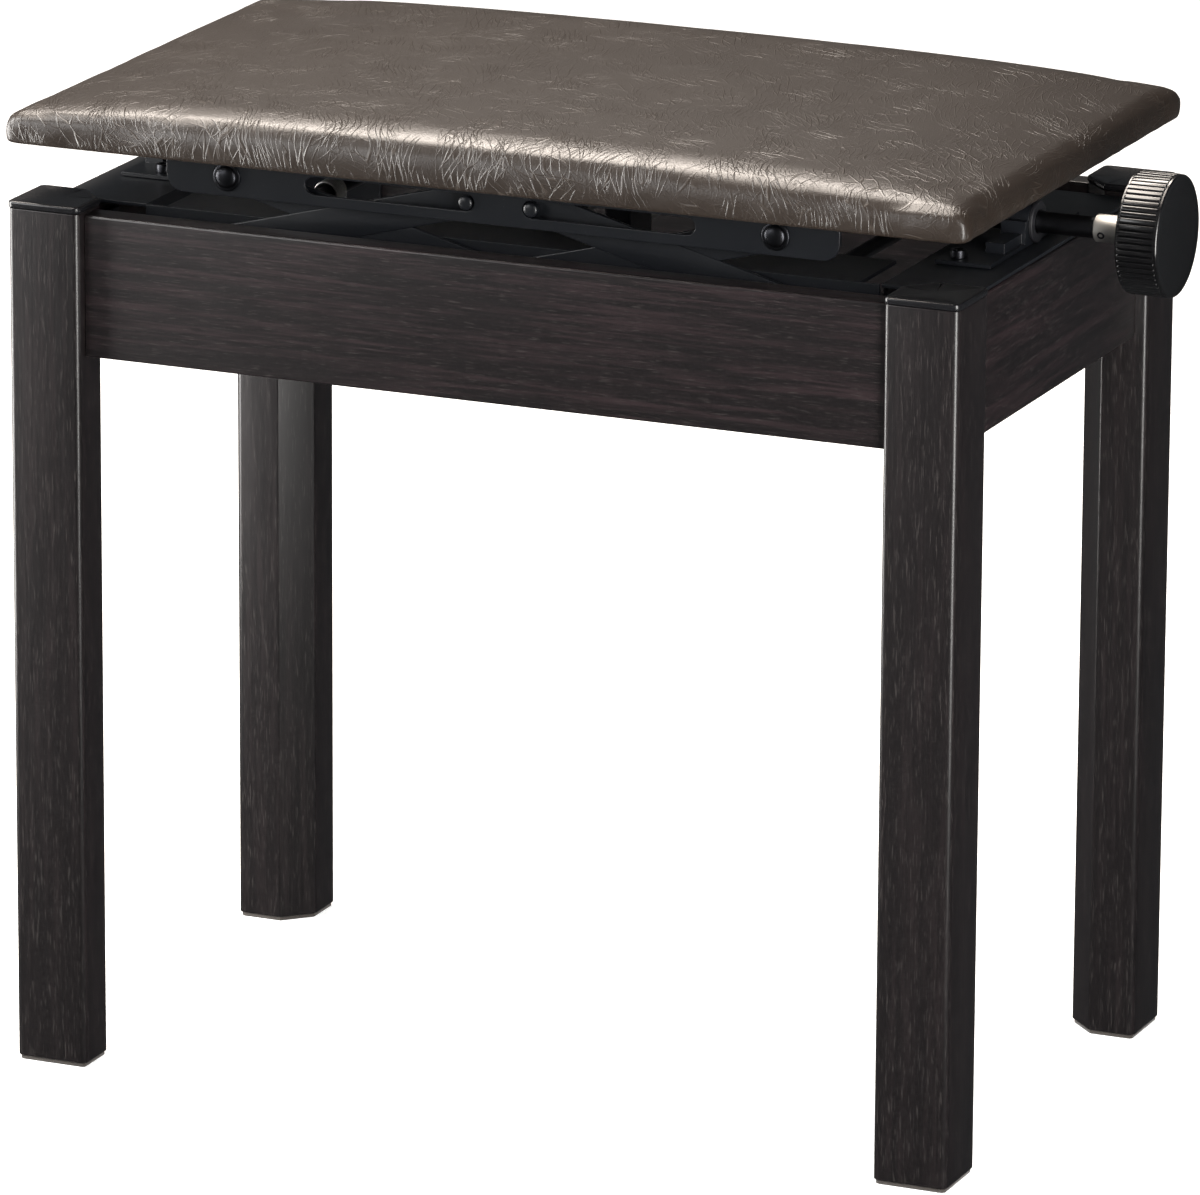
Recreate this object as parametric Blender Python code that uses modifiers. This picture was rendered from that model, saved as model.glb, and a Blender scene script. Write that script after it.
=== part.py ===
"""Height-adjustable piano bench: four posts and aprons, a double scissor lift and a padded seat.

The bench stands on z = 0 with its length along X and its front towards -Y. It is drawn about the
middle of its frame, and one empty moves all of it so that the origin is the bottom centre of its
bounding box, knob included. Every size below is in millimetres; meshes are made in metres.
"""

import math

import bmesh
import bpy
from mathutils import Matrix, Vector

MM = 0.001
GAP = 0.3  # clearance between two pieces that touch
MERGE = 0.00005  # metres, for welding and for modifiers that merge

# Driving dimensions of the wooden frame
FRAME_LENGTH = 510.0
FRAME_DEPTH = 302.0
LEG = 39.0
LEG_CHAMFER = 14.5
LEG_ROUND = 3.2
LEG_TOP = 447.4
CAP_TOP = 451.0
CAP_OVERHANG = 0.5
PAD_HEIGHT = 2.0
PAD_INSET = 1.0
APRON_TOP = 446.0
APRON_BOTTOM = 373.0
APRON_THICK = 15.0
APRON_RECESS = 7.0
APRON_EDGE = 0.8
BRACE_LOW = 384.0
BRACE_HIGH = 434.0
BRACE_TAB = 20.0
BRACE_OFFSET = 11.2  # from the post's chamfer to the brace
BOLT_Z = 409.0
BOLT_RADIUS = 3.0
BOLT_LENGTH = 23.0
NUT_RADIUS = 5.6
NUT_HEIGHT = 5.0

# Driving dimensions of the seat
SEAT_LENGTH = 516.6
SEAT_DEPTH = 303.0
SEAT_BOTTOM = 480.3
SEAT_EDGE_TOP = 496.0
SEAT_CROWN = 10.0
SEAT_ROLL = 10.5
BOARD_THICK = 9.6
BOARD_INSET = 12.0
BOARD_EDGE = 1.5

# Driving dimensions of the lift
SHEET = 2.0  # pressed steel sheet
PIVOT_X = 147.5  # outer pivots, from the middle
SLIDER_X = 17.5  # inner, sliding ends at the lowest seat height
LOWER_Z = 433.5
UPPER_Z = 467.5
ARM_THICK = 2.5
ARM_HALF_WIDTH = 8.5
LIFT_PLAY = 1.75  # room that the sliding joints need through the travel
UPPER_WEB_Y = 121.5  # outer faces of the layers, from the middle
OUTER_ARM_Y = 118.9
INNER_ARM_Y = 115.9
LOWER_WEB_Y = 110.9
UPPER_RAIL_HALF = 181.0
UPPER_RAIL_BOTTOM = 457.5
UPPER_FLANGE = 26.0
LOWER_RAIL_HALF = 197.7
LOWER_RAIL_BOTTOM = 420.0
LOWER_FLANGE = 49.0
LOWER_FLANGE_HALF = 187.0
SLOT_INNER = 13.0  # slot ends, from the middle
SLOT_OUTER = 105.0
END_PLATE_INNER = 198.0
END_PLATE_OUTER = 247.0
END_WEB_BOTTOM = 405.0
UPPER_RAIL_CORNER = 9.0
RAIL_TAB = 22.0  # bent ends of the lower rails
RAIL_TAB_DROP = 6.0
END_PLATE_HALF_Y = 109.0
END_WEB_HALF_Y = 106.0
PIVOT_RADIUS = 3.0  # every turning pin
SLOT_PIN_RADIUS = 2.5
SLOT_PIN_HEAD = (3.7, 1.8)  # radius and thickness
MIDDLE_PIN_HEAD = (6.0, 1.8)
ROD_RADIUS = 5.0
ROD_WAIST = 4.0
ROD_HEAD = 2.0
SHAFT_RADIUS = 4.0
SHOULDER_COLLAR = 5.0
BLOCK_HALF_X = 7.0  # threaded block on the sliding shaft
BLOCK_HALF_Y = 14.0
BLOCK_BELOW = 9.0
BLOCK_ABOVE = 10.5

# Driving dimensions of the screw drive
SCREW_Z = 457.0
SCREW_RADIUS = 5.5
THREAD_RADIUS = 5.0
KNOB_BACK = 288.6
KNOB_FACE = 310.7
KNOB_RADIUS = 30.7
KNOB_RIBS = 60
KNOB_VALLEY = 0.8
HUB_RADIUS = 7.0
HUB_BACK = 280.6
KNOB_HOLLOW = (9.0, 27.0)  # inner and outer radius
KNOB_WEB = 4.0
KNOB_BORE_WEB = 5.0
SCREW_NECK = 4.5  # radius inside the knob
SCREW_WAIST = 4.2  # radius between the two threads
SCREW_END = 243.0
THREAD_START = 8.0
THREAD_END = 86.0
BEARING_X = 229.5
BEARING_HALF = 6.5
BEARING_BOSS = 10.4
BEARING_HALF_Y = 14.0
BEARING_TOP = 459.5
FOOT_X = (207.0, 236.0)
FOOT_HALF_Y = 61.0
SHOULDER_X = (224.0, 234.0)
SHOULDER_HALF_Y = 37.0
SHOULDER_RISE = 7.0
BUSH_RADIUS = 8.0
BUSH_HALF = 8.5
BUSH_FLANGE = (10.5, 1.7)  # radius and thickness
BRACKET_BOLT_X = 216.0
BRACKET_BOLT_Y = 52.0
BRACKET_BOLT_RADIUS = 2.5
BRACKET_BOLT_HEAD = (4.2, 4.0)  # radius and height
BRACKET_NUT = (4.6, 5.2, 8.6)  # radius, top and bottom below the head

ORIGIN_SHIFT = -(KNOB_FACE - SEAT_LENGTH / 2) / 2
ARM_SPAN = PIVOT_X - SLIDER_X
ARM_RISE = UPPER_Z - LOWER_Z
ARM_LENGTH = math.hypot(ARM_SPAN, ARM_RISE)
ARM_SLOPE = math.atan2(ARM_RISE, ARM_SPAN)

# Finish: colour (linear), metallic, roughness
LAMINATE = ((0.018, 0.012, 0.011), 0.0, 0.45)
CAP_PLASTIC = ((0.012, 0.012, 0.013), 0.0, 0.35)
FELT = ((0.05, 0.045, 0.04), 0.0, 0.95)
PAINTED_STEEL = ((0.022, 0.023, 0.027), 0.6, 0.4)
BRIGHT_STEEL = ((0.35, 0.35, 0.36), 1.0, 0.3)
NYLON = ((0.012, 0.012, 0.014), 0.0, 0.45)
KNOB_PLASTIC = ((0.01, 0.01, 0.011), 0.0, 0.25)
PLYWOOD = ((0.36, 0.24, 0.13), 0.0, 0.7)
LEATHER = ((0.06, 0.05, 0.045), 0.0, 0.45)


def clear_scene():
    """Removes every object, then makes the collections for the parts and for the cutters."""
    for old in list(bpy.data.objects):
        bpy.data.objects.remove(old, do_unlink=True)
    parts = bpy.data.collections.new("piano_bench")
    cutters = bpy.data.collections.new("cutters")
    for each in (parts, cutters):
        bpy.context.scene.collection.children.link(each)
    return parts, cutters


PARTS, CUTTERS = clear_scene()


def empty(name, location, parent=None):
    """An empty at a joint axis or at the bench's own middle; location is in its parent's space."""
    holder = bpy.data.objects.new(name, None)
    holder.empty_display_size = 10 * MM
    holder.parent = parent
    holder.location = Vector(location) * MM
    PARTS.objects.link(holder)
    return holder


BENCH = empty("bench_middle", (ORIGIN_SHIFT, 0, 0))


def paint(obj, finish):
    """Gives the object its own Principled material."""
    colour, metallic, roughness = finish
    material = bpy.data.materials.new(obj.name)
    material.use_nodes = True
    shader = material.node_tree.nodes["Principled BSDF"]
    shader.inputs["Base Color"].default_value = (*colour, 1.0)
    shader.inputs["Metallic"].default_value = metallic
    shader.inputs["Roughness"].default_value = roughness
    material.diffuse_color = (*colour, 1.0)
    obj.data.materials.append(material)


def place(name, mesh, finish, location, turn=(0, 0, 0), parent=None):
    """Links a mesh as a named part at a location in millimetres, measured from the bench's middle."""
    obj = bpy.data.objects.new(name, mesh)
    PARTS.objects.link(obj)
    obj.parent = parent or BENCH
    spot = Vector(location) * MM
    if parent is not None:
        spot -= parent.location
    obj.location = spot
    obj.rotation_euler = turn
    paint(obj, finish)
    return obj


def mesh_from(bm, name):
    mesh = bpy.data.meshes.new(name)
    bm.to_mesh(mesh)
    bm.free()
    return mesh


def box_mesh(name, low, high):
    """A box between two corners in millimetres, with its scale already in the mesh."""
    bm = bmesh.new()
    bmesh.ops.create_cube(bm, size=1.0)
    size = Vector(high) - Vector(low)
    middle = (Vector(high) + Vector(low)) / 2
    bm.transform(Matrix.Translation(middle * MM) @ Matrix.Diagonal((*(size * MM), 1.0)))
    return mesh_from(bm, name)


def rod_mesh(name, radius, start, end, sides=16):
    """A cylinder along local Z from start to end, in millimetres."""
    bm = bmesh.new()
    bmesh.ops.create_cone(
        bm,
        cap_ends=True,
        segments=sides,
        radius1=radius * MM,
        radius2=radius * MM,
        depth=(end - start) * MM,
        matrix=Matrix.Translation((0, 0, (start + end) / 2 * MM)),
    )
    return mesh_from(bm, name)


def arc(centre, radius, start, end, steps):
    """Points on an arc, from angle start to angle end in degrees."""
    angles = [math.radians(start + (end - start) * i / steps) for i in range(steps + 1)]
    return [(centre[0] + radius * math.cos(a), centre[1] + radius * math.sin(a)) for a in angles]


def stadium(x_start, x_end, radius, steps=6):
    """A slot outline along X with round ends, centred on y = 0."""
    right = arc((x_end, 0), radius, -90, 90, steps)
    left = arc((x_start, 0), radius, 90, 270, steps)
    return right + left


def ring(radius, steps=16, centre=(0, 0)):
    return arc(centre, radius, 0, 360 - 360 / steps, steps - 1)


def plate_mesh(name, outlines, thickness):
    """A flat plate from a filled 2D curve: the first outline is its rim and the others are holes."""
    curve = bpy.data.curves.new(name, "CURVE")
    curve.dimensions = "2D"
    curve.fill_mode = "BOTH"
    curve.extrude = thickness / 2 * MM
    for outline in outlines:
        spline = curve.splines.new("POLY")
        spline.points.add(len(outline) - 1)
        for point, (x, y) in zip(spline.points, outline):
            point.co = (x * MM, y * MM, 0, 1)
        spline.use_cyclic_u = True
    holder = bpy.data.objects.new(name, curve)
    bpy.context.scene.collection.objects.link(holder)
    graph = bpy.context.evaluated_depsgraph_get()
    mesh = bpy.data.meshes.new_from_object(holder.evaluated_get(graph))
    bpy.data.objects.remove(holder, do_unlink=True)
    bpy.data.curves.remove(curve)
    bm = bmesh.new()
    bm.from_mesh(mesh)
    bmesh.ops.remove_doubles(bm, verts=bm.verts, dist=MERGE)
    bmesh.ops.recalc_face_normals(bm, faces=bm.faces)
    bm.to_mesh(mesh)
    bm.free()
    return mesh


def profile_mesh(name, points, closed=False):
    """A line of (radius, height) points in the XZ plane, for the Screw modifier."""
    edges = [(i, i + 1) for i in range(len(points) - 1)]
    if closed:
        edges.append((len(points) - 1, 0))
    mesh = bpy.data.meshes.new(name)
    mesh.from_pydata([(r * MM, 0, z * MM) for r, z in points], edges, [])
    return mesh


def add_screw(obj, steps=16):
    """Turns a profile about local Z into a solid."""
    turn = obj.modifiers.new("turn", "SCREW")
    turn.axis = "Z"
    turn.steps = steps
    turn.render_steps = steps
    turn.use_merge_vertices = True
    turn.merge_threshold = MERGE
    turn.use_smooth_shade = False


def add_bevel(obj, width, segments=2, angle=40):
    """Rounds the edges that are sharper than the angle."""
    bevel = obj.modifiers.new("edges", "BEVEL")
    bevel.width = width * MM
    bevel.segments = segments
    bevel.limit_method = "ANGLE"
    bevel.angle_limit = math.radians(angle)


def operand(target, mesh, location=(0, 0, 0), turn=(0, 0, 0)):
    """A hidden solid in the target's own space, for a Boolean."""
    tool = bpy.data.objects.new(target.name + "_tool", mesh)
    CUTTERS.objects.link(tool)
    tool.parent = target
    tool.location = Vector(location) * MM
    tool.rotation_euler = turn
    tool.hide_render = True
    tool.display_type = "WIRE"
    return tool


def combine(target, tool, operation):
    """Adds one EXACT Boolean to the target."""
    boolean = target.modifiers.new(operation.lower(), "BOOLEAN")
    boolean.object = tool
    boolean.operation = operation
    boolean.solver = "EXACT"


def join_box(target, low, high):
    combine(target, operand(target, box_mesh("joined", low, high)), "UNION")


def cut_rod(target, radius, start, end, location=(0, 0, 0), turn=(0, 0, 0), sides=16):
    """Drills the target with a cylinder along the tool's own Z."""
    combine(target, operand(target, rod_mesh("drill", radius, start, end, sides), location, turn), "DIFFERENCE")


def join_rod(target, radius, start, end, location=(0, 0, 0), turn=(0, 0, 0), sides=16):
    """Adds a cylinder along the tool's own Z."""
    combine(target, operand(target, rod_mesh("stud", radius, start, end, sides), location, turn), "UNION")


def smooth_round(obj, angle=35):
    """Shades round surfaces smooth and keeps the edges sharp."""
    obj.data.shade_smooth()
    obj.data.set_sharp_from_angle(angle=math.radians(angle))


FACE_X = (0, math.radians(90), 0)  # turns a local Z axis to +X
FACE_FRONT = (math.radians(90), 0, 0)  # turns a local Z axis to -Y, and local Y to +Z
FACE_BACK = (math.radians(-90), 0, 0)  # turns a local Z axis to +Y


# ---------------------------------------------------------------- wooden frame


def leg_outline(grow=0.0):
    """Post section about its own middle: three round corners and one chamfer at (+x, +y)."""
    half = LEG / 2 + grow
    inner = half - LEG_ROUND
    cut = LEG_CHAMFER
    outline = [(half, -inner), (half, half - cut), (half - cut, half)]
    outline += arc((-inner, inner), LEG_ROUND, 90, 180, 4)
    outline += arc((-inner, -inner), LEG_ROUND, 180, 270, 4)
    outline += arc((inner, -inner), LEG_ROUND, 270, 360, 4)[:-1]
    return outline


def post_piece(name, x_side, y_side, finish, low, high, grow, edge):
    """One extruded piece with the post's section, turned so that its chamfer looks inwards."""
    mesh = plate_mesh(name, [leg_outline(grow)], high - low)
    inward = {(-1, -1): 0, (1, -1): 90, (1, 1): 180, (-1, 1): 270}[(x_side, y_side)]
    spot = (
        x_side * (FRAME_LENGTH - LEG) / 2,
        y_side * (FRAME_DEPTH - LEG) / 2,
        (low + high) / 2,
    )
    piece = place(name, mesh, finish, spot, (0, 0, math.radians(inward)))
    if edge:
        add_bevel(piece, edge, 2, 60)
    return piece


def corner_names():
    """Every corner as its name and its two signs."""
    for y_side, y_name in ((-1, "front"), (1, "back")):
        for x_side, x_name in ((-1, "left"), (1, "right")):
            yield f"{y_name}_{x_name}", x_side, y_side


def build_posts():
    """Legs, their caps and their felt pads."""
    for corner, x_side, y_side in corner_names():
        post_piece(f"leg_{corner}", x_side, y_side, LAMINATE, PAD_HEIGHT + GAP, LEG_TOP, 0.0, 0.0)
        post_piece(f"leg_cap_{corner}", x_side, y_side, CAP_PLASTIC, LEG_TOP + GAP, CAP_TOP, CAP_OVERHANG, 1.1)
        post_piece(f"foot_pad_{corner}", x_side, y_side, FELT, 0.0, PAD_HEIGHT, -PAD_INSET, 0.0)


def build_aprons():
    """Four boards between the posts; the end ones are lower, because the end plates lie on them."""
    half_x = FRAME_LENGTH / 2 - LEG - GAP
    half_y = FRAME_DEPTH / 2 - LEG - GAP
    middle_y = FRAME_DEPTH / 2 - APRON_RECESS - APRON_THICK / 2
    middle_x = FRAME_LENGTH / 2 - APRON_RECESS - APRON_THICK / 2
    end_top = APRON_TOP - SHEET - GAP
    for name, side in (("apron_front", -1), ("apron_back", 1)):
        low = (-half_x, -APRON_THICK / 2, APRON_BOTTOM)
        high = (half_x, APRON_THICK / 2, APRON_TOP)
        add_bevel(place(name, box_mesh(name, low, high), LAMINATE, (0, side * middle_y, 0)), APRON_EDGE, 1)
    for name, side in (("apron_left", -1), ("apron_right", 1)):
        low = (-APRON_THICK / 2, -half_y, APRON_BOTTOM)
        high = (APRON_THICK / 2, half_y, end_top)
        add_bevel(place(name, box_mesh(name, low, high), LAMINATE, (side * middle_x, 0, 0)), APRON_EDGE, 1)


def chamfer_middle():
    """Distance of the chamfer's middle from the frame's two outer faces."""
    return LEG - LEG_CHAMFER / 2


def build_corner_braces():
    """A bent steel brace across each corner and the bolt that draws the post into it."""
    outer_x = FRAME_LENGTH / 2 - APRON_RECESS - APRON_THICK - GAP
    outer_y = FRAME_DEPTH / 2 - APRON_RECESS - APRON_THICK - GAP
    base_x = FRAME_LENGTH / 2 - chamfer_middle()
    base_y = FRAME_DEPTH / 2 - chamfer_middle()
    reach = base_x + base_y - BRACE_OFFSET * math.sqrt(2)  # x + y on the brace's outer face
    slant_x = reach - outer_y
    slant_y = reach - outer_x
    outer = [(slant_x - BRACE_TAB, outer_y), (slant_x, outer_y), (outer_x, slant_y), (outer_x, slant_y - BRACE_TAB)]
    bend = SHEET * math.tan(math.radians(22.5))
    inner = [
        (outer_x - SHEET, slant_y - BRACE_TAB),
        (outer_x - SHEET, slant_y - bend),
        (slant_x - bend, outer_y - SHEET),
        (slant_x - BRACE_TAB, outer_y - SHEET),
    ]
    for corner, x_side, y_side in corner_names():
        outline = [(x * x_side, y * y_side) for x, y in outer + inner]
        mesh = plate_mesh("brace", [outline], BRACE_HIGH - BRACE_LOW)
        brace = place(f"corner_brace_{corner}", mesh, PAINTED_STEEL, (0, 0, (BRACE_LOW + BRACE_HIGH) / 2))
        heading = math.atan2(-y_side, -x_side)
        turn = (0, math.radians(90), heading)
        spot = (x_side * base_x, y_side * base_y, BOLT_Z)
        cut_rod(brace, BOLT_RADIUS + GAP, 0, 30, (spot[0], spot[1], BOLT_Z - brace.location.z / MM), turn)
        bolt = place(f"leg_bolt_{corner}", rod_mesh("bolt", BOLT_RADIUS, GAP, BOLT_LENGTH), BRIGHT_STEEL, spot, turn)
        nut_start = BRACE_OFFSET + SHEET + GAP
        join_rod(bolt, NUT_RADIUS, nut_start, nut_start + NUT_HEIGHT, sides=6)
        smooth_round(bolt)


# ---------------------------------------------------------------- lift: fixed steel

WEB_SIDES = (("front", -1), ("back", 1))
END_SIDES = (("left", -1), ("right", 1))


def slot_cut(target, z, half_height, web_y):
    """Cuts the pair of long slots through a rail's web."""
    for side in (-1, 1):
        ends = sorted((side * (SLOT_INNER + half_height), side * (SLOT_OUTER - half_height)))
        tool = plate_mesh("slot", [stadium(*ends, half_height)], 3 * SHEET)
        combine(target, operand(target, tool, (0, web_y, z), FACE_FRONT), "DIFFERENCE")


def build_lower_rails():
    """Slotted rails with a wide top flange, hung between the end plates."""
    for name, side in WEB_SIDES:
        web_low, web_high = sorted((side * LOWER_WEB_Y, side * (LOWER_WEB_Y - SHEET)))
        low = (-LOWER_RAIL_HALF, web_low, LOWER_RAIL_BOTTOM)
        high = (LOWER_RAIL_HALF, web_high, APRON_TOP)
        rail = place(f"lower_rail_{name}", box_mesh("rail", low, high), PAINTED_STEEL, (0, 0, 0))
        flange = sorted((side * (LOWER_WEB_Y - 0.5), side * (LOWER_WEB_Y - LOWER_FLANGE)))
        join_box(
            rail,
            (-LOWER_FLANGE_HALF, flange[0], APRON_TOP - SHEET),
            (LOWER_FLANGE_HALF, flange[1], APRON_TOP),
        )
        tab = sorted((side * (LOWER_WEB_Y - 0.5), side * (LOWER_WEB_Y - RAIL_TAB)))
        for end in (-1, 1):
            span = sorted((end * LOWER_RAIL_HALF, end * (LOWER_RAIL_HALF - SHEET)))
            join_box(rail, (span[0], tab[0], LOWER_RAIL_BOTTOM), (span[1], tab[1], APRON_TOP - RAIL_TAB_DROP))
            cut_rod(rail, PIVOT_RADIUS + GAP, -6, 6, (end * PIVOT_X, side * LOWER_WEB_Y, LOWER_Z), FACE_FRONT)
        slot_cut(rail, LOWER_Z, PIVOT_RADIUS + LIFT_PLAY + GAP, side * (LOWER_WEB_Y - SHEET / 2))


def build_end_plates():
    """Angle plates that lie on the end aprons and carry the rails and the screw's bearings."""
    for name, side in END_SIDES:
        span = sorted((side * END_PLATE_INNER, side * END_PLATE_OUTER))
        low = (span[0], -END_PLATE_HALF_Y, APRON_TOP - SHEET)
        high = (span[1], END_PLATE_HALF_Y, APRON_TOP)
        plate = place(f"end_plate_{name}", box_mesh("plate", low, high), PAINTED_STEEL, (0, 0, 0))
        web = sorted((side * END_PLATE_INNER, side * (END_PLATE_INNER + SHEET)))
        join_box(plate, (web[0], -END_WEB_HALF_Y, END_WEB_BOTTOM), (web[1], END_WEB_HALF_Y, APRON_TOP - 0.5))
        for y_side in (-1, 1):
            spot = (side * BRACKET_BOLT_X, y_side * BRACKET_BOLT_Y, APRON_TOP)
            cut_rod(plate, BRACKET_BOLT_RADIUS + GAP, -6, 6, spot)


def build_bearings():
    """A pedestal on each end plate with a nylon bush for the screw, and the two bolts that hold it."""
    for name, side in END_SIDES:
        base = APRON_TOP + GAP
        foot = sorted(side * x for x in FOOT_X)
        mesh = box_mesh("foot", (foot[0], -FOOT_HALF_Y, base), (foot[1], FOOT_HALF_Y, base + SHEET))
        bracket = place(f"bearing_bracket_{name}", mesh, PAINTED_STEEL, (0, 0, 0))
        shoulder = sorted(side * x for x in SHOULDER_X)
        low = (shoulder[0], -SHOULDER_HALF_Y, base + 0.5)
        join_box(bracket, low, (shoulder[1], SHOULDER_HALF_Y, base + SHOULDER_RISE))
        block = sorted((side * (BEARING_X - BEARING_HALF), side * (BEARING_X + BEARING_HALF)))
        join_box(bracket, (block[0], -BEARING_HALF_Y, base + 1), (block[1], BEARING_HALF_Y, BEARING_TOP))
        axis = (side * BEARING_X, 0, SCREW_Z)
        join_rod(bracket, BEARING_BOSS, -BEARING_HALF, BEARING_HALF, axis, FACE_X, 20)
        cut_rod(bracket, BUSH_RADIUS + GAP, -20, 20, axis, FACE_X, 20)
        build_bush(name, side)
        for y_name, y_side in WEB_SIDES:
            spot = (side * BRACKET_BOLT_X, y_side * BRACKET_BOLT_Y, base)
            cut_rod(bracket, BRACKET_BOLT_RADIUS + GAP, -8, 8, spot)
            build_bracket_bolt(f"bracket_bolt_{name}_{y_name}", side, y_side, base + SHEET + GAP)


def build_bush(name, side):
    """A flanged nylon bush; the flange looks outwards."""
    inner = SCREW_RADIUS + GAP
    flange, thick = BUSH_FLANGE
    step = BUSH_HALF - thick
    points = [(inner, BUSH_HALF), (flange, BUSH_HALF), (flange, step), (BUSH_RADIUS, step)]
    points += [(BUSH_RADIUS, -BUSH_HALF), (inner, -BUSH_HALF)]
    turn = (0, math.radians(90 * side), 0)
    mesh = profile_mesh("bush", points, closed=True)
    bush = place(f"screw_bush_{name}", mesh, NYLON, (side * BEARING_X, 0, SCREW_Z), turn)
    add_screw(bush, 20)
    smooth_round(bush)


def build_bracket_bolt(name, side, y_side, seat_z):
    """A cap screw, turned as head and shank, with its own nut under the plate."""
    radius, height = BRACKET_BOLT_HEAD
    nut, top, bottom = BRACKET_NUT
    points = [(0, height), (radius - 0.8, height), (radius, height - 0.8), (radius, 0.0)]
    points += [(BRACKET_BOLT_RADIUS, 0.0), (BRACKET_BOLT_RADIUS, -top), (nut, -top), (nut, -bottom), (0, -bottom)]
    spot = (side * BRACKET_BOLT_X, y_side * BRACKET_BOLT_Y, seat_z)
    bolt = place(name, profile_mesh("cap_screw", points), BRIGHT_STEEL, spot)
    add_screw(bolt, 14)
    smooth_round(bolt)


def build_lower_pivots():
    """Fixed rods between the rails; the outer arms turn on their ends."""
    end = OUTER_ARM_Y + GAP
    web_out = LOWER_WEB_Y + GAP
    web_in = LOWER_WEB_Y - SHEET - GAP
    link_in = INNER_ARM_Y + 0.2
    top = [(0, end + ROD_HEAD), (ROD_RADIUS, end + ROD_HEAD), (ROD_RADIUS, end), (PIVOT_RADIUS, end)]
    top += [(PIVOT_RADIUS, link_in), (ROD_RADIUS, link_in), (ROD_RADIUS, web_out), (PIVOT_RADIUS, web_out)]
    top += [(PIVOT_RADIUS, web_in), (ROD_WAIST, web_in)]
    points = top + [(r, -y) for r, y in reversed(top)]
    for name, side in END_SIDES:
        mesh = profile_mesh("pivot_rod", points)
        rod = place(f"lower_pivot_rod_{name}", mesh, BRIGHT_STEEL, (side * PIVOT_X, 0, LOWER_Z), FACE_BACK)
        add_screw(rod, 14)
        smooth_round(rod)


# ---------------------------------------------------------------- lift: moving arms


def arm_mesh(name, end_hole, middle_hole):
    """A flat link along +X from its pivot hole, with round ends."""
    outlines = [stadium(0, ARM_LENGTH, ARM_HALF_WIDTH), ring(PIVOT_RADIUS + GAP)]
    if end_hole:
        outlines.append(ring(PIVOT_RADIUS + GAP, 16, (ARM_LENGTH, 0)))
    if middle_hole:
        outlines.append(ring(PIVOT_RADIUS + LIFT_PLAY + GAP, 16, (ARM_LENGTH / 2, 0)))
    return plate_mesh(name, outlines, ARM_THICK)


def arm_turn(side, slope):
    """Stands a flat link in the XZ plane, leading from its outer pivot to the middle."""
    heading = slope if side < 0 else math.pi - slope
    return (math.radians(90), -heading, 0)


def build_lower_arms():
    """Outer links: hinged on the lower rods, with a pin in the seat rail's slot and a middle pin."""
    middle_y = OUTER_ARM_Y - ARM_THICK / 2
    for name, side in END_SIDES:
        for y_name, y_side in WEB_SIDES:
            spot = (side * PIVOT_X, y_side * middle_y, LOWER_Z)
            mesh = arm_mesh("outer_link", False, False)
            arm = place(f"lower_arm_{name}_{y_name}", mesh, PAINTED_STEEL, spot, arm_turn(side, ARM_SLOPE))
            out = -y_side  # local +Z looks to the front
            end = (ARM_LENGTH, 0, 0)
            middle = (ARM_LENGTH / 2, 0, 0)
            outer = UPPER_WEB_Y + GAP - middle_y
            inner = middle_y - (INNER_ARM_Y - ARM_THICK - GAP)
            radius, thick = SLOT_PIN_HEAD
            join_rod(arm, SLOT_PIN_RADIUS, *sorted((0.0, out * (outer + 0.3))), end)
            join_rod(arm, radius, *sorted((out * outer, out * (outer + thick))), end)
            radius, thick = MIDDLE_PIN_HEAD
            join_rod(arm, PIVOT_RADIUS, *sorted((0.0, -out * (inner + 0.3))), middle)
            join_rod(arm, radius, *sorted((-out * inner, -out * (inner + thick))), middle)
            smooth_round(arm)


def build_upper_arms():
    """Inner links: hinged on the seat rails' bolts, with a hole for the sliding shaft at the far end."""
    middle_y = INNER_ARM_Y - ARM_THICK / 2
    for name, side in END_SIDES:
        for y_name, y_side in WEB_SIDES:
            spot = (side * PIVOT_X, y_side * middle_y, UPPER_Z)
            mesh = arm_mesh("inner_link", True, True)
            arm = place(f"upper_arm_{name}_{y_name}", mesh, PAINTED_STEEL, spot, arm_turn(side, -ARM_SLOPE))
            smooth_round(arm)


def build_carriages():
    """A sliding shaft across the two inner links and the threaded block that drives it."""
    end = INNER_ARM_Y + 0.2
    step = LOWER_WEB_Y - SHEET - 1.0
    top = [(0, end), (PIVOT_RADIUS, end), (PIVOT_RADIUS, step), (SHAFT_RADIUS, step)]
    points = top + [(r, -y) for r, y in reversed(top)]
    for name, side in END_SIDES:
        axis = empty(f"carriage_axis_{name}", (side * SLIDER_X, 0, LOWER_Z), BENCH)
        spot = (side * SLIDER_X, 0, LOWER_Z)
        shaft = place(f"slide_shaft_{name}", profile_mesh("shaft", points), BRIGHT_STEEL, spot, FACE_BACK, axis)
        add_screw(shaft)
        smooth_round(shaft)
        low = (-BLOCK_HALF_X, -BLOCK_HALF_Y, -BLOCK_BELOW)
        high = (BLOCK_HALF_X, BLOCK_HALF_Y, SCREW_Z - LOWER_Z + BLOCK_ABOVE)
        block = place(f"nut_block_{name}", box_mesh("block", low, high), PAINTED_STEEL, spot, parent=axis)
        cut_rod(block, THREAD_RADIUS + LIFT_PLAY + GAP, -15, 15, (0, 0, SCREW_Z - LOWER_Z), FACE_X, 20)
        cut_rod(block, SHAFT_RADIUS + GAP, -20, 20, turn=FACE_BACK)
        add_bevel(block, 0.8, 1)


# ---------------------------------------------------------------- screw and knob


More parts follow.
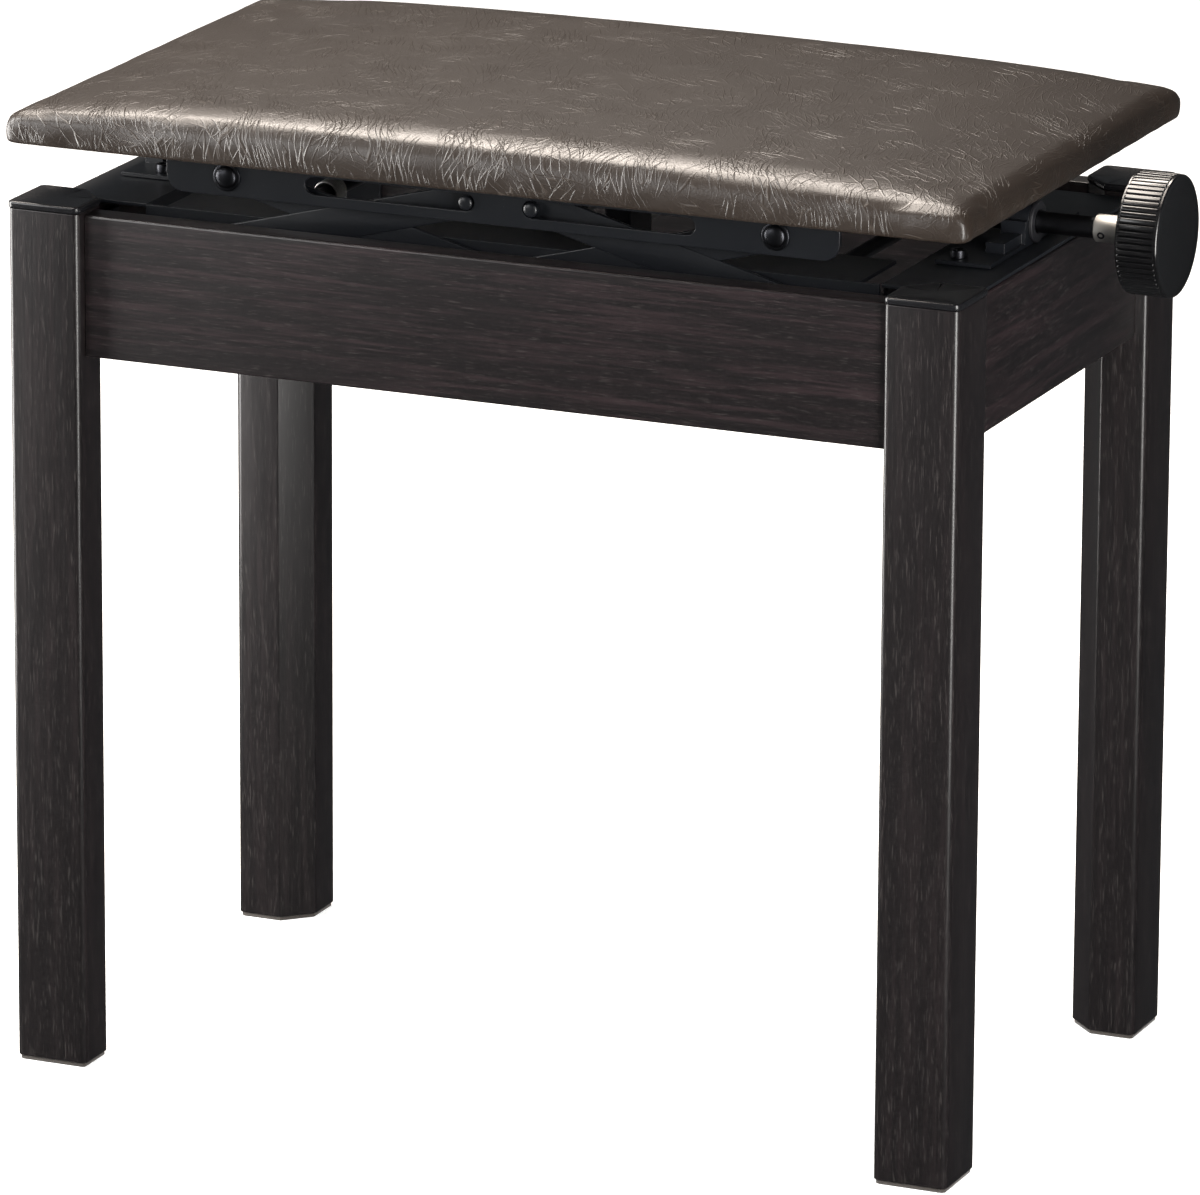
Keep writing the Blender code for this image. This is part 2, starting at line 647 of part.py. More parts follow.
def build_screw():
    """The drive screw: plain journals at both ends and two threaded stretches about the middle."""
    axis = empty("screw_axis", (0, 0, SCREW_Z), BENCH)
    spot = (0, 0, SCREW_Z)
    right = KNOB_FACE - KNOB_BORE_WEB
    neck = HUB_BACK - 1
    points = [(0, right), (SCREW_NECK, right), (SCREW_NECK, neck), (SCREW_RADIUS, neck)]
    half = [(SCREW_RADIUS, THREAD_END), (THREAD_RADIUS, THREAD_END)]
    half += [(THREAD_RADIUS, THREAD_START), (SCREW_WAIST, THREAD_START)]
    points += half + [(r, -x) for r, x in reversed(half)]
    points += [(SCREW_RADIUS, 1 - SCREW_END), (SCREW_RADIUS - 0.8, -SCREW_END), (0, -SCREW_END)]
    screw = place("lift_screw", profile_mesh("screw", points), BRIGHT_STEEL, spot, FACE_X, axis)
    add_screw(screw, 20)
    smooth_round(screw)
    build_knob(axis, spot)


def rib_outline():
    """The ribbed rim: crests and valleys take turns round the circle."""
    half_step = math.pi / KNOB_RIBS
    radii = [KNOB_RADIUS - KNOB_VALLEY * (i % 2) for i in range(2 * KNOB_RIBS)]
    return [(r * math.cos(i * half_step), r * math.sin(i * half_step)) for i, r in enumerate(radii)]


def build_knob(axis, spot):
    """A ribbed hand knob, hollow at the back round its hub, with a blind bore for the screw."""
    width = KNOB_FACE - KNOB_BACK
    mesh = plate_mesh("adjusting_knob", [rib_outline()], width)
    mesh.transform(Matrix.Translation((0, 0, (KNOB_BACK + width / 2) * MM)))
    knob = place("adjusting_knob", mesh, KNOB_PLASTIC, spot, FACE_X, axis)
    core, wall = KNOB_HOLLOW
    floor, mouth = KNOB_FACE - KNOB_WEB, KNOB_BACK - 5
    hollow = profile_mesh("hollow", [(core, floor), (wall, floor), (wall, mouth), (core, mouth)], True)
    tool = operand(knob, hollow)
    add_screw(tool, 32)
    combine(knob, tool, "DIFFERENCE")
    join_rod(knob, HUB_RADIUS, HUB_BACK, KNOB_FACE - 2)
    cut_rod(knob, SCREW_NECK + GAP, HUB_BACK - 5, KNOB_FACE - KNOB_BORE_WEB + GAP)
    smooth_round(knob)


# ---------------------------------------------------------------- seat


def build_upper_rails(seat):
    """Slotted rails under the seat board, and the pivot bolts of the inner links."""
    for name, side in WEB_SIDES:
        height = SEAT_BOTTOM - GAP - UPPER_RAIL_BOTTOM
        half = UPPER_RAIL_HALF
        corner = UPPER_RAIL_CORNER
        outline = arc((half - corner, corner), corner, -90, 0, 4) + [(half, height), (-half, height)]
        outline += arc((-half + corner, corner), corner, 180, 270, 4)
        mesh = plate_mesh("seat_rail", [outline], SHEET)
        spot = (0, side * (UPPER_WEB_Y - SHEET / 2), UPPER_RAIL_BOTTOM)
        rail = place(f"upper_rail_{name}", mesh, PAINTED_STEEL, spot, FACE_FRONT, seat)
        span = sorted((side * 0.5, side * UPPER_FLANGE))  # local -Z looks to the back
        join_box(rail, (-half, height - SHEET, span[0]), (half, height, span[1]))
        pin_z = UPPER_Z - UPPER_RAIL_BOTTOM
        half_height = SLOT_PIN_RADIUS + LIFT_PLAY + 0.25
        for end in (-1, 1):
            ends = sorted((end * (SLOT_INNER + half_height), end * (SLOT_OUTER - half_height)))
            tool = plate_mesh("slot", [stadium(*ends, half_height)], 3 * SHEET)
            combine(rail, operand(rail, tool, (0, pin_z, 0)), "DIFFERENCE")
            cut_rod(rail, PIVOT_RADIUS + GAP, -6, 6, (end * PIVOT_X, pin_z, 0))
        smooth_round(rail)
        build_upper_pivots(seat, name, side)


def build_upper_pivots(seat, name, side):
    """Shoulder bolts: domed head outside the rail, collar in the outer links' layer, nut inside."""
    rail_in = UPPER_WEB_Y - SHEET - GAP
    link_out = INNER_ARM_Y + GAP
    link_in = INNER_ARM_Y - ARM_THICK - GAP
    head = UPPER_WEB_Y + GAP
    dome = [(0, head + 3.2), (4.0, head + 2.9), (6.4, head + 1.6), (7.2, head)]
    collar = [(PIVOT_RADIUS, head), (PIVOT_RADIUS, rail_in), (SHOULDER_COLLAR, rail_in), (SHOULDER_COLLAR, link_out)]
    nut = [(PIVOT_RADIUS, link_out), (PIVOT_RADIUS, link_in), (5.2, link_in), (5.2, link_in - 2.4)]
    nut += [(0, link_in - 2.4)]
    points = dome + collar + nut
    turn = FACE_FRONT if side < 0 else FACE_BACK
    for x_name, x_side in END_SIDES:
        spot = (x_side * PIVOT_X, 0, UPPER_Z)
        mesh = profile_mesh("shoulder_bolt", points)
        bolt = place(f"upper_pivot_bolt_{x_name}_{name}", mesh, PAINTED_STEEL, spot, turn, seat)
        add_screw(bolt, 16)
        smooth_round(bolt)


def crown(x, y):
    """Height of the pad above its edges: a shallow dome that dies out at the rim."""
    across = 1 - (2 * x / (SEAT_LENGTH * MM)) ** 2
    along = 1 - (2 * y / (SEAT_DEPTH * MM)) ** 2
    return SEAT_CROWN * MM * (across * along) ** 0.5 if across > 0 and along > 0 else 0.0


def pad_mesh():
    """A domed box whose edge weights give a wide roll at the top and a small one at the bottom."""
    bm = bmesh.new()
    bmesh.ops.create_cube(bm, size=1.0)
    bottom = SEAT_BOTTOM + 0.2
    size = Matrix.Diagonal((SEAT_LENGTH * MM, SEAT_DEPTH * MM, (SEAT_EDGE_TOP - bottom) * MM, 1.0))
    bm.transform(Matrix.Translation((0, 0, (SEAT_EDGE_TOP + bottom) / 2 * MM)) @ size)
    middle = (SEAT_EDGE_TOP + bottom) / 2 * MM
    weight = bm.edges.layers.float.new("bevel_weight_edge")
    top = []
    for edge in bm.edges:
        above = [v.co.z > middle for v in edge.verts]
        edge[weight] = 1.0 if all(above) else 0.7 if any(above) else 0.25
        if all(above):
            top.append(edge)
    bmesh.ops.subdivide_edges(bm, edges=top, cuts=9, use_grid_fill=True)
    for edge in bm.edges:
        if all(v.co.z > middle and crown(v.co.x, v.co.y) > 0 for v in edge.verts):
            edge[weight] = 0.0
    for vert in bm.verts:
        if vert.co.z > middle:
            vert.co.z += crown(vert.co.x, vert.co.y)
    return mesh_from(bm, "pad")


def build_seat(seat):
    """The plywood board and the padded cover around it."""
    half_x = SEAT_LENGTH / 2
    half_y = SEAT_DEPTH / 2
    board_x = half_x - BOARD_INSET
    board_y = half_y - BOARD_INSET
    low = (-board_x, -board_y, SEAT_BOTTOM)
    high = (board_x, board_y, SEAT_BOTTOM + BOARD_THICK)
    add_bevel(place("seat_board", box_mesh("board", low, high), PLYWOOD, (0, 0, 0), parent=seat), BOARD_EDGE, 1)

    pad = place("seat_cushion", pad_mesh(), LEATHER, (0, 0, 0), parent=seat)
    roll = pad.modifiers.new("roll", "BEVEL")
    roll.width = SEAT_ROLL * MM
    roll.segments = 3
    roll.limit_method = "WEIGHT"
    pocket_low = (-board_x - GAP, -board_y - GAP, SEAT_BOTTOM - 10)
    pocket_high = (board_x + GAP, board_y + GAP, SEAT_BOTTOM + BOARD_THICK + GAP)
    combine(pad, operand(pad, box_mesh("pocket", pocket_low, pocket_high)), "DIFFERENCE")
    smooth_round(pad)


def main():
    build_posts()
    build_aprons()
    build_corner_braces()
    build_lower_rails()
    build_end_plates()
    build_bearings()
    build_lower_pivots()
    build_lower_arms()
    build_upper_arms()
    build_carriages()
    build_screw()
    seat = empty("seat_lift_axis", (0, 0, UPPER_Z), BENCH)
    build_upper_rails(seat)
    build_seat(seat)


main()
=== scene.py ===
"""Looks of a height-adjustable piano bench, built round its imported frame.

Shapes are worked out in millimetres, in the frame's own axes: +X along the bench towards the
hand knob, +Y from the player's front side to the back, +Z up. Meshes are made in metres, and
every place comes from the boxes of the frame's nodes.
"""

import functools
import logging
import math
from dataclasses import dataclass
from enum import Enum
from typing import Any, Iterator, Sequence

import bmesh
import bpy
import numpy as np
from mathutils import Matrix, Vector


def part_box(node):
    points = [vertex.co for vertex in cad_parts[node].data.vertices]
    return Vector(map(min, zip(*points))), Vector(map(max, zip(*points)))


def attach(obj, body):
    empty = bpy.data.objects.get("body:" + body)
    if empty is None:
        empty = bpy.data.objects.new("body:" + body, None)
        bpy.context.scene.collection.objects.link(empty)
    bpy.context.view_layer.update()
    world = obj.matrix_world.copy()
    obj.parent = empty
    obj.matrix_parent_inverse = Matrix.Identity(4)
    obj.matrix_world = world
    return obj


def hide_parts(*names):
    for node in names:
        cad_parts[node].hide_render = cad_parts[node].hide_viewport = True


LOG = logging.getLogger("piano_bench")
Array = np.ndarray
Row = tuple[float, float]
Tree = bpy.types.NodeTree
Node = bpy.types.Node
Socket = bpy.types.NodeSocket

MM = 0.001
WELD_MM = 0.0005
SIDES = (("left", -1), ("right", 1))
FACES = (("front", -1), ("back", 1))


# ---------------------------------------------------------------- colours and nodes


def linear(code: str) -> tuple[float, float, float, float]:
    """Turns an sRGB hex colour into linear light.

    Formula: c / 12.92 up to 0.04045, and ((c + 0.055) / 1.055) ** 2.4 above it.

    Args:
        code: A colour such as "#2b2422".

    Returns:
        Red, green, blue and an alpha of 1.
    """
    srgb = np.array([int(code[i : i + 2], 16) for i in (1, 3, 5)]) / 255.0
    light = np.where(srgb <= 0.04045, srgb / 12.92, ((srgb + 0.055) / 1.055) ** 2.4)
    return (*light.tolist(), 1.0)


def per(spacing_mm: float) -> float:
    """Pattern repeats in a metre, for a pattern that repeats every so many millimetres."""
    return 1.0 / (spacing_mm * MM)


def add_node(tree: Tree, kind: str, inputs: dict | None = None, **settings: Any) -> Node:
    """Adds one shader node with its settings and links.

    Args:
        tree: The node tree to add it to.
        kind: The node's type, without its ShaderNode prefix.
        inputs: For each socket, by name or number, a value or the output that feeds it.
        **settings: The node's own properties.

    Returns:
        The new node.
    """
    node = tree.nodes.new("ShaderNode" + kind)
    for key, value in settings.items():
        setattr(node, key, value)
    for key, value in (inputs or {}).items():
        if isinstance(value, Socket):
            tree.links.new(value, node.inputs[key])
        else:
            node.inputs[key].default_value = value
    return node


def noise(tree: Tree, where: Socket, scale: float, detail: float, **more: float) -> Socket:
    """Adds a soft noise.

    Args:
        tree: The node tree to add it to.
        where: Its coordinates.
        scale: How often it repeats in one unit of them.
        detail: How many finer layers it has.
        **more: Its other inputs, by name.

    Returns:
        Its value, from 0 to 1.
    """
    inputs = {"Vector": where, "Scale": scale, "Detail": detail, **more}
    return add_node(tree, "TexNoise", inputs).outputs["Fac"]


def remap(
    tree: Tree, value: Socket, source: Row = (0.0, 1.0), target: Row = (0.0, 1.0), smooth: bool = False
) -> Socket:
    """Carries a value from one range to another, and holds it at the ends.

    Args:
        tree: The node tree to add to.
        value: The value.
        source: The range that it comes from, which may run downwards.
        target: The range that it goes to.
        smooth: Whether it leaves and reaches the ends softly.

    Returns:
        The new value.
    """
    inputs = {"Value": value, "From Min": source[0], "From Max": source[1]}
    inputs |= {"To Min": target[0], "To Max": target[1]}
    way = "SMOOTHSTEP" if smooth else "LINEAR"
    return add_node(tree, "MapRange", inputs, interpolation_type=way).outputs[0]


def maths(tree: Tree, operation: str, *values: Socket | float) -> Socket:
    """One arithmetic step on values, in their order."""
    return add_node(tree, "Math", dict(enumerate(values)), operation=operation).outputs[0]


def blend(tree: Tree, share: Socket, first: Socket | str, second: str) -> Socket:
    """Mixes two colours.

    Args:
        tree: The node tree to add to.
        share: The second colour's share.
        first: The colour at a share of 0: an output, or sRGB hex.
        second: The colour at a share of 1, sRGB hex.

    Returns:
        The mixed colour.
    """
    start = linear(first) if isinstance(first, str) else first
    inputs = {0: share, 6: start, 7: linear(second)}
    return add_node(tree, "Mix", inputs, data_type="RGBA").outputs[2]


class Grain(Enum):
    """The way a board's grain runs, with how much each axis is stretched along it."""

    ALONG_X = (0, 1, 1)
    ALONG_Y = (1, 0, 1)
    ALONG_Z = (1, 1, 0)

    def scale(self, across_mm: float, along_mm: float) -> tuple[float, float, float]:
        """Mapping scale for figure that repeats so often across and along the grain."""
        return tuple(per(across_mm) if across else per(along_mm) for across in self.value)

    def stretch(self, tree: Tree, where: Socket, across_mm: float, along_mm: float) -> Socket:
        """Coordinates in which one unit is that far across the grain and that far along it."""
        inputs = {"Vector": where, "Scale": self.scale(across_mm, along_mm)}
        return add_node(tree, "Mapping", inputs).outputs[0]


# ---------------------------------------------------------------- finishes


@dataclass(frozen=True)
class Finish:
    """A material by its common name and how its surface was made.

    Attributes:
        label: Name of the material.
        slot: The record's material slot; not used.
        colour: Main colour, sRGB hex.
        roughness: Typical roughness of the surface.
        metallic: 1 for bare metal.
        ior: Refractive index; bare metal keeps the default.
        uneven: How far the roughness goes below and above its typical value.
    """

    label: str
    slot: str
    colour: str
    roughness: float
    metallic: float = 0.0
    ior: float = 1.5
    uneven: Row = (0.0, 0.0)

    def draw(self, tree: Tree, shader: Node, here: Socket) -> None:
        """Adds the pattern's nodes.

        Args:
            tree: The material's nodes.
            shader: Its Principled shader.
            here: Object coordinates, in metres.
        """
        raise NotImplementedError

    def vary_gloss(self, tree: Tree, shader: Node, pattern: Socket) -> None:
        """Makes the roughness uneven by a pattern that runs from 0 to 1."""
        below, above = self.uneven
        gloss = remap(tree, pattern, target=(self.roughness - below, self.roughness + above))
        tree.links.new(gloss, shader.inputs["Roughness"])

    @staticmethod
    def emboss(
        tree: Tree, shader: Node, height: Socket, strength: float, depth_mm: float, sunk: bool = False
    ) -> None:
        """Gives the surface a fine relief.

        Args:
            tree: The material's nodes.
            shader: Its Principled shader.
            height: The relief's height, from 0 to 1.
            strength: How strongly it tilts the surface.
            depth_mm: How high it stands where its height is 1.
            sunk: Whether it goes into the surface instead.
        """
        inputs = {"Height": height, "Strength": strength, "Distance": depth_mm * MM}
        bump = add_node(tree, "Bump", inputs, invert=sunk)
        tree.links.new(bump.outputs["Normal"], shader.inputs["Normal"])


@functools.cache
def material_of(finish: Finish) -> bpy.types.Material:
    """Makes a finish's material once, and returns the same one after that.

    Args:
        finish: The finish.

    Returns:
        Its material.
    """
    material = bpy.data.materials.new(finish.label)
    material.use_nodes = True
    tree = material.node_tree
    shader = tree.nodes["Principled BSDF"]
    shader.inputs["Base Color"].default_value = linear(finish.colour)
    shader.inputs["Roughness"].default_value = finish.roughness
    shader.inputs["Metallic"].default_value = finish.metallic
    if not finish.metallic:
        shader.inputs["IOR"].default_value = finish.ior
    finish.draw(tree, shader, add_node(tree, "TexCoord").outputs["Object"])
    return material


@dataclass(frozen=True)
class Strands:
    """One family of raised lines in the vinyl's print.

    Attributes:
        angle_deg: The way they run, from the bench's length.
        length_mm: Length of the cells between them.
        gap_mm: Width of those cells.
        seed_mm: Where the pattern starts, so that each family shows in other patches.
    """

    angle_deg: float
    length_mm: float
    gap_mm: float
    seed_mm: float


@dataclass(frozen=True)
class CrinkledVinyl(Finish):
    """Synthetic leather: embossed vinyl on cloth, pulled over foam.

    Its print is a crinkle of thin raised lines, in patches of long strands that lean together
    and branch, over a fine grain. It is satin, so a soft light makes a broad band on the roll and
    a bright thread along each line; the lines are also painted lighter, a painted highlight along
    them. The print follows the unrolled cover.

    Attributes:
        uneven: How far the roughness goes below and above its typical value.
        light: Colour of the raised lines, a painted highlight along them.
        families: The families of strands.
        line: Half the width of a line, as a share of the gap.
        patch_mm: Size of the patches in which one family shows.
        patch_edge: Values of the patches' noise between which a family fades in.
        bend_mm: Size of the bends in the strands.
        bend_reach_mm: How far the bends push them aside.
        grain_mm: Size of the fine grain, drawn coarse enough to show.
        grain_share: Height of the grain, as a share of the lines'.
        relief_mm: Height of the lines, drawn high enough to show.
        rim_mm: Distances from the middle, along the depth, between which the lines grow to full
            height.
        calm: Share of their height that the lines keep in the middle.
        cloud_mm: Size of the wide clouds of wear.
        wear_and_line_highlight: Most of the light colour that the clouds of wear and the lines' painted
            highlight bring in.
    """

    uneven: Row = (0.06, 0.08)
    light: str = "#453e38"
    families: tuple[Strands, ...] = (
        Strands(97.0, 34.0, 3.6, 0.0),
        Strands(114.0, 28.0, 3.2, 70.0),
        Strands(64.0, 30.0, 4.2, 190.0),
        Strands(142.0, 22.0, 4.8, 310.0),
    )
    line: float = 0.075
    patch_mm: float = 24.0
    patch_edge: Row = (0.47, 0.66)
    bend_mm: float = 38.0
    bend_reach_mm: float = 24.0
    grain_mm: float = 1.0
    grain_share: float = 0.4
    relief_mm: float = 0.22
    rim_mm: Row = (70.0, 140.0)
    calm: float = 0.7
    cloud_mm: float = 60.0
    wear_and_line_highlight: Row = (0.2, 0.5)

    def lines(self, tree: Tree, cover: Socket, family: Strands) -> Socket:
        """Draws one family's lines: the edges of long cells, shown in patches.

        Args:
            tree: The material's nodes.
            cover: Coordinates on the unrolled cover, in metres.
            family: The family.

        Returns:
            1 on a line and 0 off it.
        """
        seed = family.seed_mm * MM
        stretched = add_node(
            tree,
            "Mapping",
            {
                "Vector": cover,
                "Location": (seed, seed, 0.0),
                "Rotation": (0.0, 0.0, math.radians(family.angle_deg)),
                "Scale": (family.length_mm * MM, family.gap_mm * MM, 1.0),
            },
            vector_type="TEXTURE",
        )
        cells = add_node(
            tree,
            "TexVoronoi",
            {"Vector": stretched.outputs[0], "Scale": 1.0},
            voronoi_dimensions="2D",
            feature="DISTANCE_TO_EDGE",
        )
        line = remap(tree, cells.outputs["Distance"], (self.line, 0.0), smooth=True)
        moved = add_node(tree, "Mapping", {"Vector": cover, "Location": (2 * seed, seed, seed)})
        patch = noise(tree, moved.outputs[0], per(self.patch_mm), 3.0)
        return maths(tree, "MULTIPLY", line, remap(tree, patch, self.patch_edge))

    def bent(self, tree: Tree, cover: Socket) -> Socket:
        """Pushes coordinates aside by a wide soft noise, so that the strands bend.

        Args:
            tree: The material's nodes.
            cover: Coordinates on the unrolled cover, in metres.

        Returns:
            The bent coordinates.
        """
        inputs = {"Vector": cover, "Scale": per(self.bend_mm), "Detail": 0.5}
        drift = add_node(tree, "TexNoise", inputs).outputs["Color"]
        centred = add_node(tree, "VectorMath", {0: drift, 1: (0.5, 0.5, 0.5)}, operation="SUBTRACT")
        reach = {0: centred.outputs[0], "Scale": self.bend_reach_mm * MM}
        shift = add_node(tree, "VectorMath", reach, operation="SCALE")
        return add_node(tree, "VectorMath", {0: cover, 1: shift.outputs[0]}, operation="ADD").outputs[0]

    def draw(self, tree: Tree, shader: Node, here: Socket) -> None:
        """The families over each other on slightly bent coordinates, and a fine grain.

        Args:
            tree: The material's nodes.
            shader: Its Principled shader.
            here: Object coordinates, in metres.
        """
        cover = add_node(tree, "Attribute", attribute_name="unrolled").outputs["Vector"]
        bent = self.bent(tree, cover)
        raised = self.lines(tree, bent, self.families[0])
        for family in self.families[1:]:
            raised = maths(tree, "MAXIMUM", raised, self.lines(tree, bent, family))
        depth = add_node(tree, "SeparateXYZ", {0: cover}).outputs["Y"]
        edges = tuple(edge * MM for edge in self.rim_mm)
        rim = remap(tree, maths(tree, "ABSOLUTE", depth), edges, (self.calm, 1.0), smooth=True)
        raised = maths(tree, "MULTIPLY", raised, rim)
        grain = noise(tree, here, per(self.grain_mm), 3.0)
        # Clouds of wear, and a painted highlight that makes the raised lines lighter.
        clouds, painted_line_highlight = self.wear_and_line_highlight
        patchy = remap(tree, noise(tree, here, per(self.cloud_mm), 5.0), target=(0.0, clouds))
        wear_and_line_highlight = maths(tree, "MAXIMUM", patchy, maths(tree, "MULTIPLY", raised, painted_line_highlight))
        tone = blend(tree, wear_and_line_highlight, self.colour, self.light)
        tree.links.new(tone, shader.inputs["Base Color"])
        self.vary_gloss(tree, shader, grain)
        relief = maths(tree, "MULTIPLY_ADD", grain, self.grain_share, raised)
        self.emboss(tree, shader, relief, 1.0, self.relief_mm)


@dataclass(frozen=True)
class PrintedLaminate(Finish):
    """Board wrapped in a rosewood print under a satin film.

    The print is almost black, with faint red-brown streaks along the grain. Short embossed
    pores catch the light, shown as pale ticks: a painted highlight in the pores.

    Attributes:
        uneven: How far the roughness goes below and above its typical value.
        streak: Colour of the lighter streaks.
        pore_highlight: Colour of the ticks in the pores, a painted highlight.
        grain: The way the grain runs.
        streak_mm: Width and length of the streaks.
        streak_edge: Values of the figure between which a streak fades in.
        pore_mm: Width and length of the pores, drawn wide enough to show.
        pore_edge: Values of the pores' noise between which a pore fades in.
        pore_highlight_share: Most of that painted highlight colour that a tick has.
        relief: Strength of the pores' relief, and its depth in millimetres.
    """

    uneven: Row = (0.07, 0.09)
    streak: str = "#241918"
    pore_highlight: str = "#393534"
    grain: Grain = Grain.ALONG_X
    streak_mm: Row = (0.9, 34.0)
    streak_edge: Row = (0.19, 0.40)
    pore_mm: Row = (0.6, 9.0)
    pore_edge: Row = (0.6, 0.7)
    pore_highlight_share: float = 0.5
    relief: Row = (0.08, 0.08)

    def draw(self, tree: Tree, shader: Node, here: Socket) -> None:
        """Stretched noise at three sizes: broad bands, streaks and pores.

        Args:
            tree: The material's nodes.
            shader: Its Principled shader.
            here: Object coordinates, in metres.
        """
        width, length = self.streak_mm
        broad = self.grain.stretch(tree, here, 5 * width, 3 * length)
        band = noise(tree, broad, 1.0, 3.0, Distortion=0.6)
        narrow = self.grain.stretch(tree, here, width, length)
        streak = noise(tree, narrow, 1.0, 6.0, Roughness=0.65, Distortion=0.25)
        figure = maths(tree, "MULTIPLY", band, streak)
        shown = remap(tree, figure, self.streak_edge, smooth=True)
        wood = blend(tree, shown, self.colour, self.streak)
        # Pale ticks in the pores: a painted highlight, over their sunk relief.
        dots = noise(tree, self.grain.stretch(tree, here, *self.pore_mm), 1.0, 2.0)
        pores = remap(tree, dots, self.pore_edge)
        wood_with_painted_ticks = blend(tree, maths(tree, "MULTIPLY", pores, self.pore_highlight_share), wood, self.pore_highlight)
        tree.links.new(wood_with_painted_ticks, shader.inputs["Base Color"])
        self.vary_gloss(tree, shader, streak)
        self.emboss(tree, shader, pores, *self.relief, sunk=True)


@dataclass(frozen=True)
class Moulded(Finish):
    """Moulded plastic: a faint even texture from the tool, and slightly uneven gloss.

    Attributes:
        uneven: How far the roughness goes below and above its typical value.
        texture_mm: Size of the tool's texture, drawn coarse enough to show.
        relief_mm: Depth of that texture.
        cloud_mm: Size of the clouds of gloss and tone.
        tone: Least and most brightness of the colour.
    """

    uneven: Row = (0.04, 0.05)
    texture_mm: float = 0.9
    relief_mm: float = 0.03
    cloud_mm: float = 25.0
    tone: Row = (0.85, 1.15)

    def draw(self, tree: Tree, shader: Node, here: Socket) -> None:
        """Fine noise for the texture and wide noise for the gloss and tone.

        Args:
            tree: The material's nodes.
            shader: Its Principled shader.
            here: Object coordinates, in metres.
        """
        cloud = noise(tree, here, per(self.cloud_mm), 2.0)
        shade = remap(tree, cloud, target=self.tone)
        tone = add_node(tree, "HueSaturation", {"Color": linear(self.colour), "Value": shade})
        tree.links.new(tone.outputs[0], shader.inputs["Base Color"])
        self.vary_gloss(tree, shader, cloud)
        spark = noise(tree, here, per(self.texture_mm), 3.0)
        self.emboss(tree, shader, spark, 1.0, self.relief_mm)


@dataclass(frozen=True)
class CoatedSteel(Finish):
    """Pressed steel under satin black paint, with a slight orange peel and a few dust specks.

    Attributes:
        uneven: How far the roughness goes below and above its typical value.
        speck: Colour of the dust specks.
        speck_mm: Spacing of the specks.
        speck_share: Radius of a speck, as a share of that spacing.
        peel_mm: Size of the orange peel.
        peel_relief: Strength of the peel's relief, and its depth in millimetres.
        cloud_mm: Size of the clouds of gloss.
    """

    uneven: Row = (0.06, 0.06)
    speck: str = "#4b4d52"
    speck_mm: float = 3.5
    speck_share: float = 0.07
    peel_mm: float = 1.6
    peel_relief: Row = (0.5, 0.05)
    cloud_mm: float = 30.0

    def draw(self, tree: Tree, shader: Node, here: Socket) -> None:
        """Rounded noise for the peel, and rare bright dots for the specks.

        Args:
            tree: The material's nodes.
            shader: Its Principled shader.
            here: Object coordinates, in metres.
        """
        cells = add_node(tree, "TexVoronoi", {"Vector": here, "Scale": per(self.speck_mm)})
        dust = remap(tree, cells.outputs["Distance"], (self.speck_share, 0.0))
        tree.links.new(blend(tree, dust, self.colour, self.speck), shader.inputs["Base Color"])
        self.vary_gloss(tree, shader, noise(tree, here, per(self.cloud_mm), 3.0))
        peel = noise(tree, here, per(self.peel_mm), 1.0)
        self.emboss(tree, shader, peel, *self.peel_relief)


@dataclass(frozen=True)
class TurnedMetal(Finish):
    """Turned or drawn steel with a thin plated or blackened skin.

    The skin's colour drifts a little, and fine tool marks and handling make the gloss uneven.

    Attributes:
        uneven: How far the roughness goes below and above its typical value.
        drift: Second colour of the skin.
        drift_mm: Size of the clouds in which it drifts.
        mark_mm: Spacing of the tool marks, drawn coarse enough to show.
        mark_relief: Strength of the marks' relief, and its depth in millimetres.
    """

    uneven: Row = (0.08, 0.12)
    drift: str = "#8f8a7c"
    drift_mm: float = 9.0
    mark_mm: float = 0.7
    mark_relief: Row = (0.4, 0.03)

    def draw(self, tree: Tree, shader: Node, here: Socket) -> None:
        """Wide noise mixes the two colours; fine noise scatters the gloss and the surface.

        Args:
            tree: The material's nodes.
            shader: Its Principled shader.
            here: Object coordinates, in metres.
        """
        cloud = noise(tree, here, per(self.drift_mm), 4.0)
        tree.links.new(blend(tree, cloud, self.colour, self.drift), shader.inputs["Base Color"])
        marks = noise(tree, here, per(self.mark_mm), 2.0)
        self.vary_gloss(tree, shader, marks)
        self.emboss(tree, shader, marks, *self.mark_relief)


